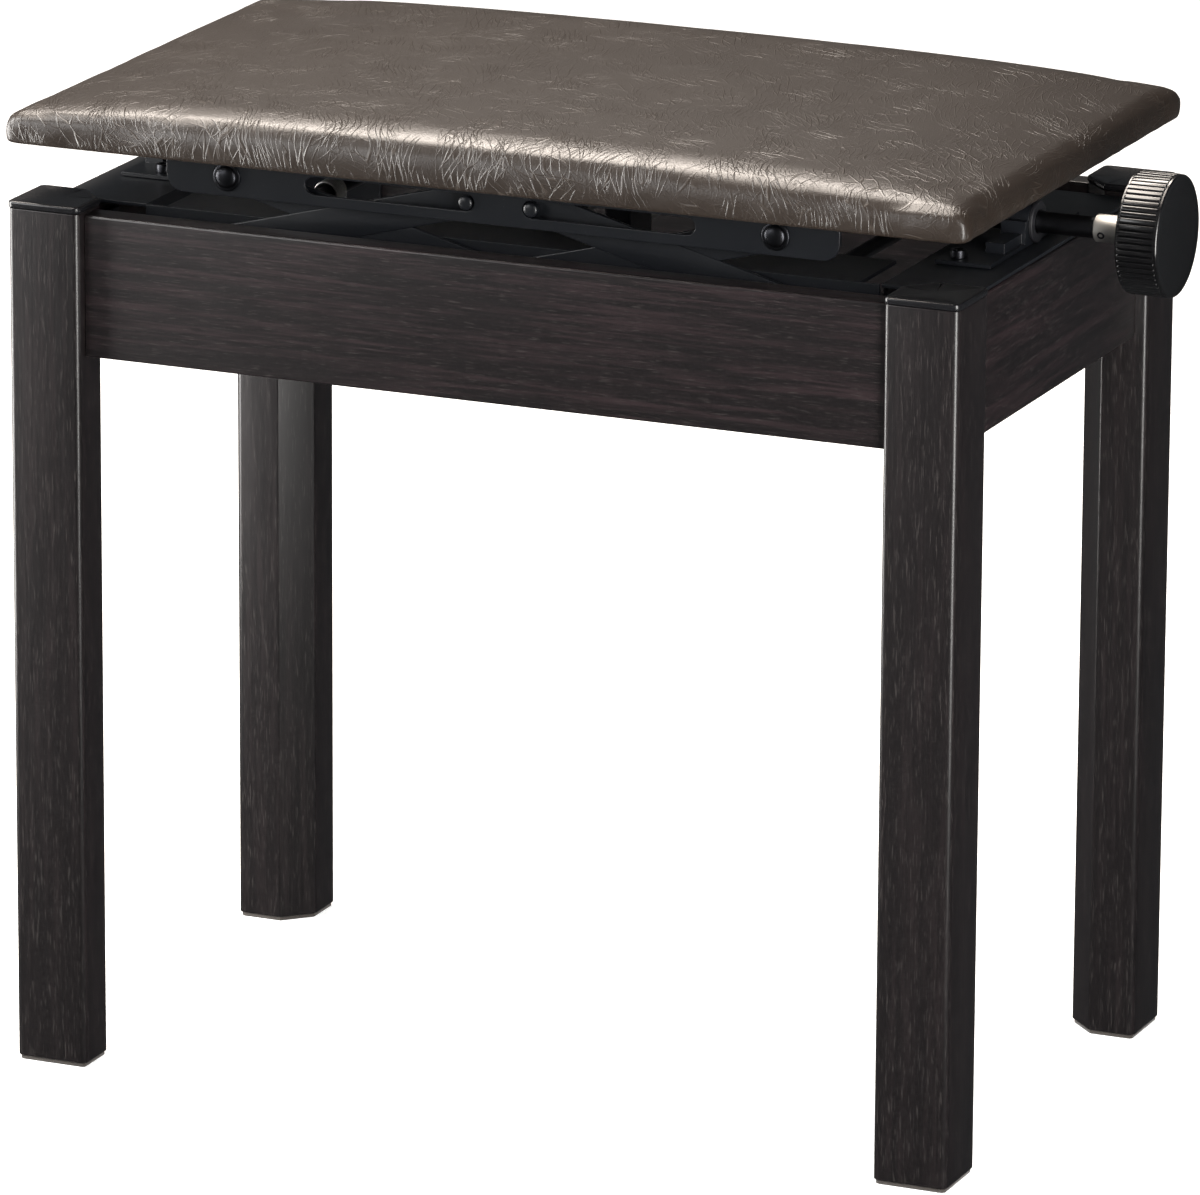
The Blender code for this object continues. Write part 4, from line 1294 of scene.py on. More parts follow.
@dataclass
class LiftBase:
    """The steel that stays with the frame: rails, end plates, bearings, rods and screws.

    Attributes:
        body: The body it rides on.
        rod_radius: Radius of the fixed rods' shoulders and ends.
        rod_pin: Radius of their pins, which the rail and the arms sit on.
        rod_waist: Radius between the rails.
        bush_bore: Radius of the bushes' bore.
        bush_wall: Radius of their sleeve.
        bush_flange: Thickness of their flange.
        bearing_nut: Heights of a bearing nut's two faces, from the underside of its screw's head.
    """

    body: str = "frame"
    rod_radius: float = 5.0
    rod_pin: float = 3.0
    rod_waist: float = 4.0
    bush_bore: float = 5.8
    bush_wall: float = 8.0
    bush_flange: float = 1.7
    bearing_nut: Row = (-8.4, -5.4)

    def build_bushes(self) -> None:
        """Flanged bushes in the two bearings; the flange looks outwards."""
        for name, side in SIDES:
            box = Box.of(f"screw_bush_{name}")
            outer, half = box.size[1] / 2, box.size[0] / 2
            bore, wall, step = self.bush_bore, self.bush_wall, half - self.bush_flange
            rows = [(bore, half - 0.4), (bore + 0.4, half), (outer - 0.5, half), (outer, half - 0.5)]
            rows += [(outer, step), (wall, step), (wall, 0.6 - half), (wall - 0.6, -half)]
            rows += [(bore + 0.3, -half), (bore, 0.3 - half), (bore, half - 0.4)]
            grid = aim(turned(rows), (side, 0, 0), box.middle)
            fit(Skin().add(grid).build(f"nylon_bush_{name}"), NYLON, self.body, f"screw_bush_{name}")

    def build_bearing_screws(self) -> None:
        """Socket screws with nuts that hold the bearings to the end plates."""
        screw = SocketScrew()
        for x_name, _ in SIDES:
            for y_name, _ in FACES:
                node = f"bracket_bolt_{x_name}_{y_name}"
                box = Box.of(node)
                seat = box.high[2] - screw.height
                skin = Skin().add(screw.grid() + (*box.middle[:2], seat))
                skin.add(screw.nut(*self.bearing_nut) + (*box.middle[:2], seat))
                fit(skin.build(f"bearing_screw_{x_name}_{y_name}"), BLACKENED, self.body, node)

    def build_rods(self) -> None:
        """Fixed rods, with a pin, a shoulder and a riveted end for each arm."""
        for name, _ in SIDES:
            node = f"lower_pivot_rod_{name}"
            box = Box.of(node)
            end = box.size[1] / 2
            link_in, web = end - 5.2, end - 10.0
            r, pin, waist = self.rod_radius, self.rod_pin, self.rod_waist
            half = [(0.0, end), (r - 1.2, end), (r, end - 0.8), (r, end - 1.9)]
            half += [(pin, end - 2.0), (pin, link_in), (r, link_in), (r, web)]
            half += [(pin, web), (pin, web - 2.6), (waist, web - 2.6), (waist, web - 12.0)]
            rows = [(out, -z) for out, z in half] + [(out, z) for out, z in reversed(half)]
            grid = aim(turned(rows, 40), (0, 1, 0), box.middle)
            fit(Skin().add(grid).build(f"fixed_rod_{name}"), BLACKENED, self.body, node)

    def build_rod_spring(self) -> None:
        """A short close-wound coil round the left fixed rod.

        Formula: the wire's middle follows a helix round the rod, and its section is a circle in
        the plane that holds the rod's axis.
        """
        turns, wire, middle = 7, 0.8, 6.0
        pitch = 2.1 * wire
        turn = np.linspace(0.0, 2 * math.pi * turns, 32 * turns + 1)[:, None]
        round_wire = np.linspace(0.0, 2 * math.pi, 10, endpoint=False)[None]
        radius = middle + wire * np.cos(round_wire) + 0 * turn
        height = (turn / (2 * math.pi) - turns / 2) * pitch + wire * np.sin(round_wire)
        coil = np.stack([radius * np.cos(turn), radius * np.sin(turn), height], -1)
        first, last = (end.mean(1, keepdims=True) + 0 * end for end in (coil[:1], coil[-1:]))
        closed = np.concatenate([first, coil, last])
        grid = aim(closed, (0, 1, 0), Box.of("lower_pivot_rod_left").middle)
        fit(Skin().add(grid).build("rod_spring"), ZINC, self.body)

    def build(self) -> None:
        """Builds the turned pieces and dresses the pressed ones."""
        self.build_bushes()
        self.build_bearing_screws()
        self.build_rods()
        self.build_rod_spring()
        dress(["lower_rail", "end_plate", "bearing_bracket"], PAINTED)


@dataclass
class Scissor:
    """The moving links, their pins, and the carriages that the screw drives.

    Attributes:
        link_half: Half the width of a link.
        link_edge: Radius of a link's edges.
        link_thick: Thickness of a link.
        link_face: How far an outer link's face lies outside the inner link's.
        pin_radius: Radius of the pin in the seat rail's slot.
        pin_head: Radius of that pin's domed head.
        middle_pin: Radius of the middle pin.
        middle_head: Radius of its domed head.
        head_height: Height of both heads.
        bolt_collar: Radius of a shoulder bolt's collars.
        bolt_neck: Radius of its neck.
        bolt_dome: Radius of its domed head.
    """

    link_half: float = 8.5
    link_edge: float = 0.5
    link_thick: float = 2.5
    link_face: float = 3.0
    pin_radius: float = 2.5
    pin_head: float = 3.7
    middle_pin: float = 3.0
    middle_head: float = 6.0
    head_height: float = 1.8
    bolt_collar: float = 5.0
    bolt_neck: float = 3.0
    bolt_dome: float = 5.6

    def build_outer_links(self) -> None:
        """Outer links, each with a slot pin at its far end and a middle pin, all riveted."""
        clear = 0.3
        web = abs(Box.of("upper_rail_front").low[1])
        inner_face = abs(Box.of("upper_arm_left_front").high[1])
        outer, thick, height = inner_face + self.link_face, self.link_thick, self.head_height
        for x_name, _ in SIDES:
            for y_name, y_side in FACES:
                node = f"lower_arm_{x_name}_{y_name}"
                foot = Box.of(f"lower_pivot_rod_{x_name}").middle[[0, 2]]
                bolt = Box.of(f"upper_pivot_bolt_{x_name}_{y_name}")
                head = np.array([Box.of(f"slide_shaft_{x_name}").middle[0], bolt.middle[2]])
                length = np.linalg.norm(head - foot)
                way = (head - foot) / length
                rows = edge_profile(outer - thick, outer, self.link_edge)
                plate = loft(stadium(length, self.link_half), rows)
                slot_pin = self.rivet(self.pin_radius, self.pin_head, outer + 0.02, web + clear, height)
                reach = (thick - outer + 0.02, clear - inner_face + thick)
                middle = self.rivet(self.middle_pin, self.middle_head, *reach, height)
                skin = Skin()
                for shape, spot in ((plate, 0.0), (slot_pin, length), (middle * (1, 1, -1), length / 2)):
                    local = shape + (spot, 0.0, 0.0)
                    x = foot[0] + local[..., 0] * way[0] - local[..., 1] * way[1]
                    z = foot[1] + local[..., 0] * way[1] + local[..., 1] * way[0]
                    skin.add(np.stack([x, y_side * local[..., 2], z], -1))
                fit(skin.build(f"outer_link_{x_name}_{y_name}"), PAINTED, f"lower_arms_{x_name}", node)

    @staticmethod
    def rivet(radius: float, head: float, start: float, shoulder: float, thick: float) -> Array:
        """A pin with a domed head, about local z.

        Args:
            radius: Radius of the pin.
            head: Radius of the head.
            start: Height where the pin starts.
            shoulder: Height where the head starts.
            thick: Height of the head.

        Returns:
            The grid of points.
        """
        rim = 0.5
        angle = np.linspace(0.0, math.pi / 2, 7)[:-1]
        dome = [(head * math.cos(a), shoulder + rim + (thick - rim) * math.sin(a)) for a in angle]
        pin = [(0.0, start), (radius, start), (radius, shoulder), (head, shoulder)]
        return turned([*pin, *dome, (0.0, shoulder + thick)])

    def build_upper_bolts(self) -> None:
        """Shoulder bolts of the inner links: a collar and a plain domed head outside the seat rail."""
        for y_name, y_side in FACES:
            for x_name, _ in SIDES:
                node = f"upper_pivot_bolt_{x_name}_{y_name}"
                box = Box.of(node)
                outer = box.high[1] if y_side > 0 else -box.low[1]
                inner = box.low[1] if y_side > 0 else -box.high[1]
                head = outer - 3.2
                base = head + 1.2
                angle = np.linspace(0.0, math.pi / 2, 8)[:-1]
                dome = [(self.bolt_dome * math.cos(a), base + (outer - base) * math.sin(a)) for a in angle]
                collar, neck = self.bolt_collar, self.bolt_neck
                rows = [(0.0, inner), (collar, inner), (collar + 0.2, inner + 0.3)]
                rows += [(collar + 0.2, inner + 2.3), (neck, inner + 2.4), (neck, inner + 5.2)]
                rows += [(collar, inner + 5.3), (collar, head - 2.6), (neck, head - 2.6), (neck, head)]
                rows += [(6.9, head), (7.2, head + 0.3), (7.2, head + 0.6), (6.8, head + 0.9)]
                rows += [(self.bolt_dome + 0.1, head + 0.9), *dome, (0.0, outer)]
                grid = aim(turned(rows), (0, y_side, 0), (box.middle[0], 0.0, box.middle[2]))
                fit(Skin().add(grid).build(f"shoulder_bolt_{x_name}_{y_name}"), BLACKENED, "seat", node)

    def build_shafts(self) -> None:
        """Sliding shafts, stepped and chamfered at both ends."""
        for name, _ in SIDES:
            node = f"slide_shaft_{name}"
            box = Box.of(node)
            end = box.size[1] / 2
            step = end - 8.2
            half = [(0.0, end), (2.5, end), (3.0, end - 0.5), (3.0, step), (3.6, step)]
            half += [(4.0, step - 0.4), (4.0, 20.0)]
            rows = [(r, -z) for r, z in half] + [(r, z) for r, z in reversed(half)]
            grid = aim(turned(rows, 40), (0, 1, 0), box.middle)
            fit(Skin().add(grid).build(f"sliding_shaft_{name}"), ZINC, f"carriage_{name}", node)

    def build(self) -> None:
        """Builds the links and bolts and dresses the rest."""
        self.build_outer_links()
        self.build_upper_bolts()
        self.build_shafts()
        dress(["upper_arm"], PAINTED, edge_mm=0.45)
        dress(["nut_block"], BLACKENED, edge_mm=0.5)


@dataclass
class ScrewDrive:
    """The drive screw with its two opposite threads, the collar and the hand knob.

    Attributes:
        body: The body it rides on.
        journal: Radius of the plain ends.
        neck: Radius of the end inside the knob.
        crest: Radius of the threads.
        depth: Depth of the threads.
        pitch: Pitch of the threads.
        threads: Distances from the frame's middle where a thread starts and ends.
        collar: Radius of the collar.
        collar_reach: How far the collar reaches along the shaft from the knob's hub.
        ribs: Number of ribs round the knob.
        valley: Depth between two ribs.
        rim_width: Width of the knob's rim, from its face to its back.
        crest_width: Power that widens the ribs and narrows the valleys.
        bore: Radius of the knob's and the collar's bore round the neck.
        hollow: Inner and outer radius of the hollow in the knob's back.
        web: Thickness of the knob's face.
    """

    body: str = "screw"
    journal: float = 5.5
    neck: float = 4.5
    crest: float = 5.0
    depth: float = 0.9
    pitch: float = 4.9
    threads: Row = (8.0, 86.0)
    collar: float = 7.0
    collar_reach: float = 12.3
    ribs: int = 60
    valley: float = 1.1
    rim_width: float = 22.1
    crest_width: int = 7
    bore: float = 4.8
    hollow: Row = (9.0, 27.0)
    web: float = 4.0

    def build_screw(self) -> None:
        """Plain ends, a left-hand and a right-hand thread, and a waist between them."""
        box = Box.of("lift_screw")
        rail = Box.of("lower_rail_front")
        middle = rail.middle[0]
        left, right = box.low[0] - middle, box.high[0] - middle
        inner, outer = self.threads
        root = self.crest - self.depth
        journal, neck = self.journal, self.neck
        start = [(0.0, left), (journal - 0.8, left), (journal, left + 0.8), (journal, -outer - 0.6)]
        grids = [turned(start, 32), threaded(self.crest, self.depth, self.pitch, -outer, -inner, -1)]
        grids += [turned([(root, -inner + 0.5), (root, inner - 0.5)], 32)]
        grids += [threaded(self.crest, self.depth, self.pitch, inner, outer)]
        end = [(journal, outer + 0.6), (journal, right - 26.5), (neck, right - 26.0)]
        grids += [turned([*end, (neck, right), (0.0, right)], 32)]
        whole = aim(np.concatenate(grids), (1, 0, 0), (middle, 0.0, box.middle[2]))
        fit(Skin().add(whole).build("threaded_screw"), BLACKENED, self.body, "lift_screw")

    def build_collar(self, axis: Array, back: float, face: float) -> None:
        """A satin collar on the knob's hub, with a set screw in its side.

        Args:
            axis: A point of the screw's axis, at x = 0.
            back: The x of the hub's end.
            face: The x of the knob's back.
        """
        r, bore, start = self.collar, self.journal + 0.1, back - self.collar_reach
        rows = [(bore, start), (r - 0.6, start), (r, start + 0.6), (r, face + 0.6)]
        rows += [(self.bore, face + 0.6), (self.bore, back), (bore, back - 0.2), (bore, start)]
        fit(Skin().add(aim(turned(rows), (1, 0, 0), axis)).build("knob_collar"), SATIN_NICKEL, self.body)
        side = np.array([0.0, -0.95, -0.3])
        rim = [(0.0, r - 1.0), (1.9, r - 1.0), (1.9, r + 0.25), (1.6, r + 0.5), (1.1, r + 0.5)]
        rim += [(0.95, r + 0.3, Section.HEX), (0.95, r - 0.4, Section.HEX), (0.0, r - 0.5)]
        spot = axis + (start + 4.6, 0.0, 0.0)
        fit(Skin().add(aim(turned(rim), side, spot)).build("collar_set_screw"), BLACKENED, self.body)

    def build_knob(self, axis: Array, box: Box) -> None:
        """The ribbed knob.

        Formula: a row's radius falls by its share of the valley, times half of one minus the
        cosine of ribs x angle, raised to a power that makes the valleys narrow. The share is 0 on
        the plain face and back, and 1 along the ribs.

        Args:
            axis: A point of the screw's axis, at x = 0.
            box: The knob's box.
        """
        face = box.high[0] - axis[0]
        back = face - (box.high[0] - self.back_of(box))
        floor = face - self.web
        outer = box.size[1] / 2
        core, wall = self.hollow
        hub = self.collar + 0.05
        rows = [(0.0, face - 0.6, 0.0), (outer - 5.0, face - 0.6, 0.0), (outer - 2.6, face - 0.3, 0.0)]
        rows += [(outer - 1.3, face - 0.05, 0.0), (outer - 0.8, face, 0.0), (outer - 0.4, face - 0.2, 0.0)]
        rows += [(outer - 0.15, face - 0.6, 0.0), (outer - 0.15, face - 1.5, 0.0)]
        rows += [(outer - 0.5, face - 1.9, 0.15)]
        rows += [(outer, face - 2.3, 0.8), (outer, face - 3.0, 1.0), (outer, back + 2.2, 1.0)]
        rows += [(outer - 0.2, back + 1.5, 0.6), (outer - 0.35, back + 1.1, 0.0)]
        rows += [(outer - 0.35, back + 0.5, 0.0), (outer - 0.8, back + 0.1, 0.0)]
        rows += [(outer - 1.2, back, 0.0), (wall + 0.5, back, 0.0), (wall, back + 0.5, 0.0)]
        rows += [(wall - 0.4, floor - 1.0, 0.0), (wall - 1.4, floor, 0.0), (core + 1.0, floor, 0.0)]
        rows += [(core + 0.3, floor - 0.8, 0.0), (core, back + 0.6, 0.0), (core - 0.5, back + 0.1, 0.0)]
        rows += [(hub, back + 0.1, 0.0), (hub, back + 1.0, 0.0), (self.bore, back + 1.0, 0.0)]
        rows += [(self.bore, face - 4.7, 0.0), (0.0, face - 4.7, 0.0)]
        radius, height, share = np.array(rows).T[:, :, None]
        angle = np.linspace(0.0, 2 * math.pi, self.ribs * 12, endpoint=False)[None]
        dip = (0.5 - 0.5 * np.cos(self.ribs * angle)) ** self.crest_width
        r = radius - share * self.valley * dip
        grid = np.stack([r * np.cos(angle), r * np.sin(angle), height + 0 * angle], -1)
        fit(
            Skin().add(aim(grid, (1, 0, 0), axis)).build("ribbed_knob", 30.0),
            ABS_KNOB,
            self.body,
            "adjusting_knob",
        )

    def back_of(self, box: Box) -> float:
        """The x of the knob's back, from the knob's box."""
        return box.high[0] - self.rim_width

    def build(self) -> None:
        """Builds the screw, the collar and the knob."""
        self.build_screw()
        box = Box.of("adjusting_knob")
        axis = np.array([0.0, *box.middle[1:]])
        self.build_collar(axis, box.low[0], self.back_of(box))
        self.build_knob(axis, box)


# ---------------------------------------------------------------- seat


@dataclass
class Seat:
    """The board, its padded cover, the cloth beneath it and the rails it rides on.

    Attributes:
        body: The body it rides on.
        corner_round: Radius of the cover's upright corners.
        foot_round: Radius of its lower edge.
        shoulder: Radius of the round between the side and the top.
        side_top: Height of the shoulder at the corners.
        arc: How much higher the shoulder is halfway along the front and the back.
        slope_width: Width of the slope between that shoulder and the even middle.
        hem_drop: How far the cover's hem lies below the board.
        hem_width: Width of the hem under the board.
        swell: How far the pad may swell from the shape it starts with.
        free_rim: Width of the underside's rim that the board does not hold.
        voxel: Size of the mesh that the pad is simulated on.
        frames: Frames of the simulation.
        pressure: Air pressure that stands for the foam.
        gathers: Share, length and start of each wave of the gathers above the hem.
        gather: Height of the gathers.
        fold: Height of the folds at the corners.
        staple_gap: Distance between two staples.
    """

    body: str = "seat"
    corner_round: float = 6.0
    foot_round: float = 1.5
    shoulder: float = 8.0
    side_top: float = 495.5
    arc: float = 4.5
    slope_width: float = 32.0
    hem_drop: float = 2.2
    hem_width: float = 10.0
    swell: float = 1.6
    free_rim: float = 9.0
    voxel: float = 4.0
    frames: int = 20
    pressure: float = 4.0
    gathers: tuple[tuple[float, float, float], ...] = ((1.0, 4.1, 0.0), (0.8, 6.7, 1.3), (0.6, 2.9, 0.4))
    gather: float = 0.2
    fold: float = 0.25
    staple_gap: float = 28.0

    def pad_grid(self, box: Box, shrink: float) -> Array:
        """The pad's outside, from the middle of its underside to the middle of its top.

        Formula: a round-cornered outline goes up a profile of a small lower roll, a side and a
        round shoulder, and then shrinks to the middle. With X the share of half the length and S
        the way in from the front or back edge as a share of the slope's width, the crown adds
        arc x (1 - X squared) + (rise - arc) x (1 - X to the sixth) x (1 - (1 - S) squared), and it
        grows with the sine round the shoulder.

        Args:
            box: The cushion's box.
            shrink: How far the top and sides start inside their final place.

        Returns:
            The grid of points.
        """
        half = box.size / 2
        columns, closing_rows = 560, 60
        width, depth = box.size[:2] - 2 * shrink
        outline = rectangle(width, depth, self.corner_round).resampled(columns)
        base = box.low[2] - self.hem_drop
        turn = np.linspace(0.0, math.pi / 2, 13)
        top = self.side_top - shrink
        foot, bend = self.foot_round, self.shoulder
        low = [(foot * (1 - math.sin(a)), base + foot * (1 - math.cos(a)), 0.0) for a in turn[::2]]
        high = [(bend * (1 - math.cos(a)), top - bend * (1 - math.sin(a)), math.sin(a)) for a in turn]
        inset, height, share = np.array(low + high).T[:, :, None]
        flat = outline.points[None] - outline.normals[None] * inset[..., None]
        closing = 1 - np.linspace(0.0, 1.0, closing_rows + 1)[1:, None, None]
        flat = np.concatenate([flat[:1] * 0, flat, flat[-1:] * closing])
        ones = np.ones((closing_rows, 1))
        height = np.concatenate([height[:1], height, top * ones])
        share = np.concatenate([share[:1] * 0, share, ones])
        rise = box.high[2] - self.side_top
        inward = np.clip((half[1] - np.abs(flat[..., 1])) / self.slope_width, 0.0, 1.0)
        x = np.clip(np.abs(flat[..., 0]) / half[0], 0.0, 1.0)
        slope = (rise - self.arc) * (1 - x**6) * (1 - (1 - inward) ** 2)
        z = height + share * (self.arc * (1 - x**2) + slope)
        return np.concatenate([flat + box.middle[:2], z[..., None]], -1)

    def remeshed(self, piece: bpy.types.Object, voxel: float) -> bpy.types.Object:
        """Replaces a piece's mesh with an even one.

        Args:
            piece: The piece.
            voxel: Size of the new faces, in millimetres.

        Returns:
            The piece.
        """
        remesh = piece.modifiers.new("even", "REMESH")
        remesh.mode = "VOXEL"
        remesh.voxel_size = voxel * MM
        remesh.use_smooth_shade = True
        return self.applied(piece)

    @staticmethod
    def applied(piece: bpy.types.Object) -> bpy.types.Object:
        """Bakes a piece's modifiers into its mesh.

        Args:
            piece: The piece.

        Returns:
            The piece.
        """
        graph = bpy.context.evaluated_depsgraph_get()
        mesh = bpy.data.meshes.new_from_object(piece.evaluated_get(graph))
        piece.modifiers.clear()
        piece.data = mesh
        return piece

    def inflate(self, piece: bpy.types.Object) -> None:
        """Lets the cover swell as cloth round the foam, with its underside held by the board.

        Each point's way is capped softly: d becomes cap x tanh(d / cap) along the same line.

        Args:
            piece: The cover.
        """
        mesh = piece.data
        count = len(mesh.vertices)
        start = np.empty(count * 3, np.float32)
        mesh.vertices.foreach_get("co", start)
        start = start.reshape(-1, 3)
        held_height = 2.0 * MM
        held = piece.vertex_groups.new(name="held")
        base = start[:, 2].min()
        reach = start[:, :2].max(0) - start[:, :2].min(0)
        off = np.abs(start[:, :2] - (start[:, :2].max(0) + start[:, :2].min(0)) / 2)
        inner = np.all(off < reach / 2 - self.free_rim * MM, axis=1)
        under = start[:, 2] < base + held_height
        held.add(np.flatnonzero(inner & under).tolist(), 1.0, "REPLACE")
        cloth = piece.modifiers.new("cover", "CLOTH")
        cloth.settings.quality = 6
        cloth.settings.use_pressure = True
        cloth.settings.uniform_pressure_force = self.pressure
        cloth.settings.vertex_group_mass = "held"
        cloth.settings.shrink_min = -0.012
        cloth.settings.bending_stiffness = 0.4
        cloth.settings.effector_weights.gravity = 0.0
        cloth.point_cache.frame_start = 1
        cloth.point_cache.frame_end = self.frames
        scene = bpy.context.scene
        for frame in range(1, self.frames + 1):
            scene.frame_set(frame)
        graph = bpy.context.evaluated_depsgraph_get()
        moved = np.empty(count * 3, np.float32)
        piece.evaluated_get(graph).data.vertices.foreach_get("co", moved)
        piece.modifiers.clear()
        way = moved.reshape(-1, 3) - start
        way[:, 2] = np.maximum(way[:, 2], base - start[:, 2])
        length = np.linalg.norm(way, axis=1, keepdims=True)
        cap = self.swell * MM
        capped = way / np.maximum(length, 1e-9) * cap * np.tanh(length / cap)
        LOG.info("cover swelled %.1f mm, capped at %.1f mm", length.max() / MM, self.swell)
        mesh.vertices.foreach_set("co", (start + capped).astype(np.float32).ravel())
        mesh.update()
        scene.frame_set(1)

    def pucker(self, piece: bpy.types.Object, box: Box) -> None:
        """Presses small gathers in where the hem pulls the cover round, and fits it to its box.

        Formula: a point moves outwards by a sum of sines of its way along x and y, times a
        bell over the height at the side's foot; near an upright corner a few steeper folds join.

        Args:
            piece: The cover.
            box: The cushion's box, which it is stretched to fill.
        """
        mesh = piece.data
        co = np.empty(len(mesh.vertices) * 3, np.float32)
        mesh.vertices.foreach_get("co", co)
        p = co.reshape(-1, 3) / MM
        local = p - box.middle
        half = box.size / 2
        along = local[:, 0] + local[:, 1]
        wave = sum(share * np.sin(along / length + start) for share, length, start in self.gathers)
        height = p[:, 2] - box.low[2]
        foot = bell(height - 3.0, 4.5)
        gap = np.hypot(half[0] - np.abs(local[:, 0]), half[1] - np.abs(local[:, 1]))
        corner = bell(gap, 20.0)
        fold = np.cos(gap / 1.9) * bell(gap, 13.0) * bell(height, 9.0)
        size = self.gather * wave * foot * (1 + 1.5 * corner) + self.fold * fold
        outward = np.stack([local[:, 0] / half[0], local[:, 1] / half[1], np.zeros(len(p))], -1)
        outward = np.sign(outward) * np.abs(outward) ** 12
        outward /= np.maximum(np.linalg.norm(outward, axis=1, keepdims=True), 0.3)
        above = np.clip((height + 0.5) / 1.5, 0.0, 1.0)
        p = p + outward * (size * above)[:, None]
        base = np.array([*box.low[:2], box.low[2] - self.hem_drop])
        low, high = p.min(0), p.max(0)
        p = base + (p - low) / (high - low) * (box.high - base)
        mesh.vertices.foreach_set("co", (p * MM).astype(np.float32).ravel())
        mesh.update()

    def unroll(self, piece: bpy.types.Object, box: Box) -> None:
        """Stores where each point lies on the cover when it is laid flat.

        Formula: (x, y) moves outwards by the way down from the crown, along x beside the ends and
        along y beside the front and the back.

        Args:
            piece: The cover.
            box: The cushion's box.
        """
        mesh = piece.data
        co = np.empty(len(mesh.vertices) * 3, np.float32)
        mesh.vertices.foreach_get("co", co)
        local = co.reshape(-1, 3) / MM - box.middle
        gap = box.size[:2] / 2 - np.abs(local[:, :2])
        drop = np.clip(self.side_top - box.middle[2] - local[:, 2], 0.0, None)
        mitre = 6.0
        share = np.clip(0.5 + (gap[:, ::-1] - gap) / mitre, 0.0, 1.0)
        flat = local[:, :2] + np.sign(local[:, :2]) * drop[:, None] * share
        laid = mesh.attributes.new("unrolled", "FLOAT_VECTOR", "POINT")
        flat = np.concatenate([flat, np.zeros((len(flat), 1))], 1) * MM
        laid.data.foreach_set("vector", flat.astype(np.float32).ravel())

    def build_cushion(self) -> None:
        """The padded cover, swollen as cloth, refined, and hollowed for the board."""
        box = Box.of("seat_cushion")
        deck = Box.of("seat_board")
        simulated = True
        shrink = self.swell if simulated else 0.0
        pad = Skin().add(self.pad_grid(box, shrink)).build("padded_cover")
        self.remeshed(pad, self.voxel)
        if simulated:
            self.inflate(pad)
        finer = pad.modifiers.new("finer", "SUBSURF")
        finer.levels = finer.render_levels = 1
        self.applied(pad)
        self.pucker(pad, box)
        gap, floor_gap = 0.3, 0.25
        pocket = Box(np.array([*(deck.low[:2] - gap), deck.low[2] - floor_gap]), deck.high + gap)
        hem, below, above = self.hem_width, 10.0, 1.0
        window = Box(
            np.array([*(deck.low[:2] + hem), deck.low[2] - below]),
            np.array([*(deck.high[:2] - hem), deck.low[2] + above]),
        )
        for cut in (pocket, window):
            tool = Skin().add(board(cut, along=2, radius=1.0, edge=0.01)).build("cut")
            boolean = pad.modifiers.new("cut", "BOOLEAN")
            boolean.operation = "DIFFERENCE"
            boolean.object = tool
            self.applied(pad)
            bpy.data.objects.remove(tool)
        self.unroll(pad, box)
        pad.data.shade_smooth()
        pad.data.set_sharp_from_angle(angle=math.radians(50))
        fit(pad, VINYL, self.body, "seat_cushion")

    def build_dust_cloth(self) -> None:
        """Thin cloth that closes the board's underside, and the staples through the hem."""
        deck = Box.of("seat_board")
        margin, lower_face, upper_face = 3.0, 0.26, 0.02
        low = np.array([*(deck.low[:2] + margin), deck.low[2] - lower_face])
        high = np.array([*(deck.high[:2] - margin), deck.low[2] - upper_face])
        cloth = Skin().add(board(Box(low, high), along=2, radius=2.0, edge=0.02)).build("dust_cloth")
        fit(cloth, DUST_CLOTH, self.body)
        hem = Box.of("seat_cushion").low[2] - self.hem_drop
        half = deck.size[:2] / 2 - self.hem_width / 2
        count = int(4 * half.sum() / self.staple_gap)
        track = rectangle(2 * half[0], 2 * half[1], radius=6.0).resampled(count)
        staple = Box(np.array([-5.0, -0.35, -0.4]), np.array([5.0, 0.35, 0.3]))
        wire = board(staple, along=0, radius=0.3, edge=0.1)
        skin = Skin()
        for point, normal in zip(track.points, track.normals):
            turn = np.array([[-normal[1], normal[0], 0.0], [normal[0], normal[1], 0.0], [0.0, 0.0, 1.0]])
            skin.add(wire @ turn + (*(point + deck.middle[:2]), hem))
        fit(skin.build("hem_staples"), ZINC, self.body)

    def build_rail_screws(self) -> None:
        """Pan-head screws up through the rails' flanges into the board."""
        head = PanScrew(radius=4.2, height=2.3)
        flange, from_web, places = 2.0, 9.0, (-0.88, -0.1, 0.1, 0.88)
        for name, side in FACES:
            rail = Box.of(f"upper_rail_{name}")
            skin = Skin()
            flange_bottom = rail.high[2] - flange
            y = (rail.low[1] if side > 0 else rail.high[1]) + side * from_web
            for share in places:
                x = rail.middle[0] + share * rail.size[0] / 2
                skin.add(aim(head.grid(), (0, 0, -1), (x, y, flange_bottom - 0.02)))
            fit(skin.build(f"seat_rail_screws_{name}"), BLACKENED, self.body)

    def build(self) -> None:
        """Builds the seat and dresses its board and rails."""
        self.build_cushion()
        self.build_dust_cloth()
        self.build_rail_screws()
        dress(["seat_board"], PLYWOOD)
        dress(["upper_rail"], PAINTED)


# ---------------------------------------------------------------- studio


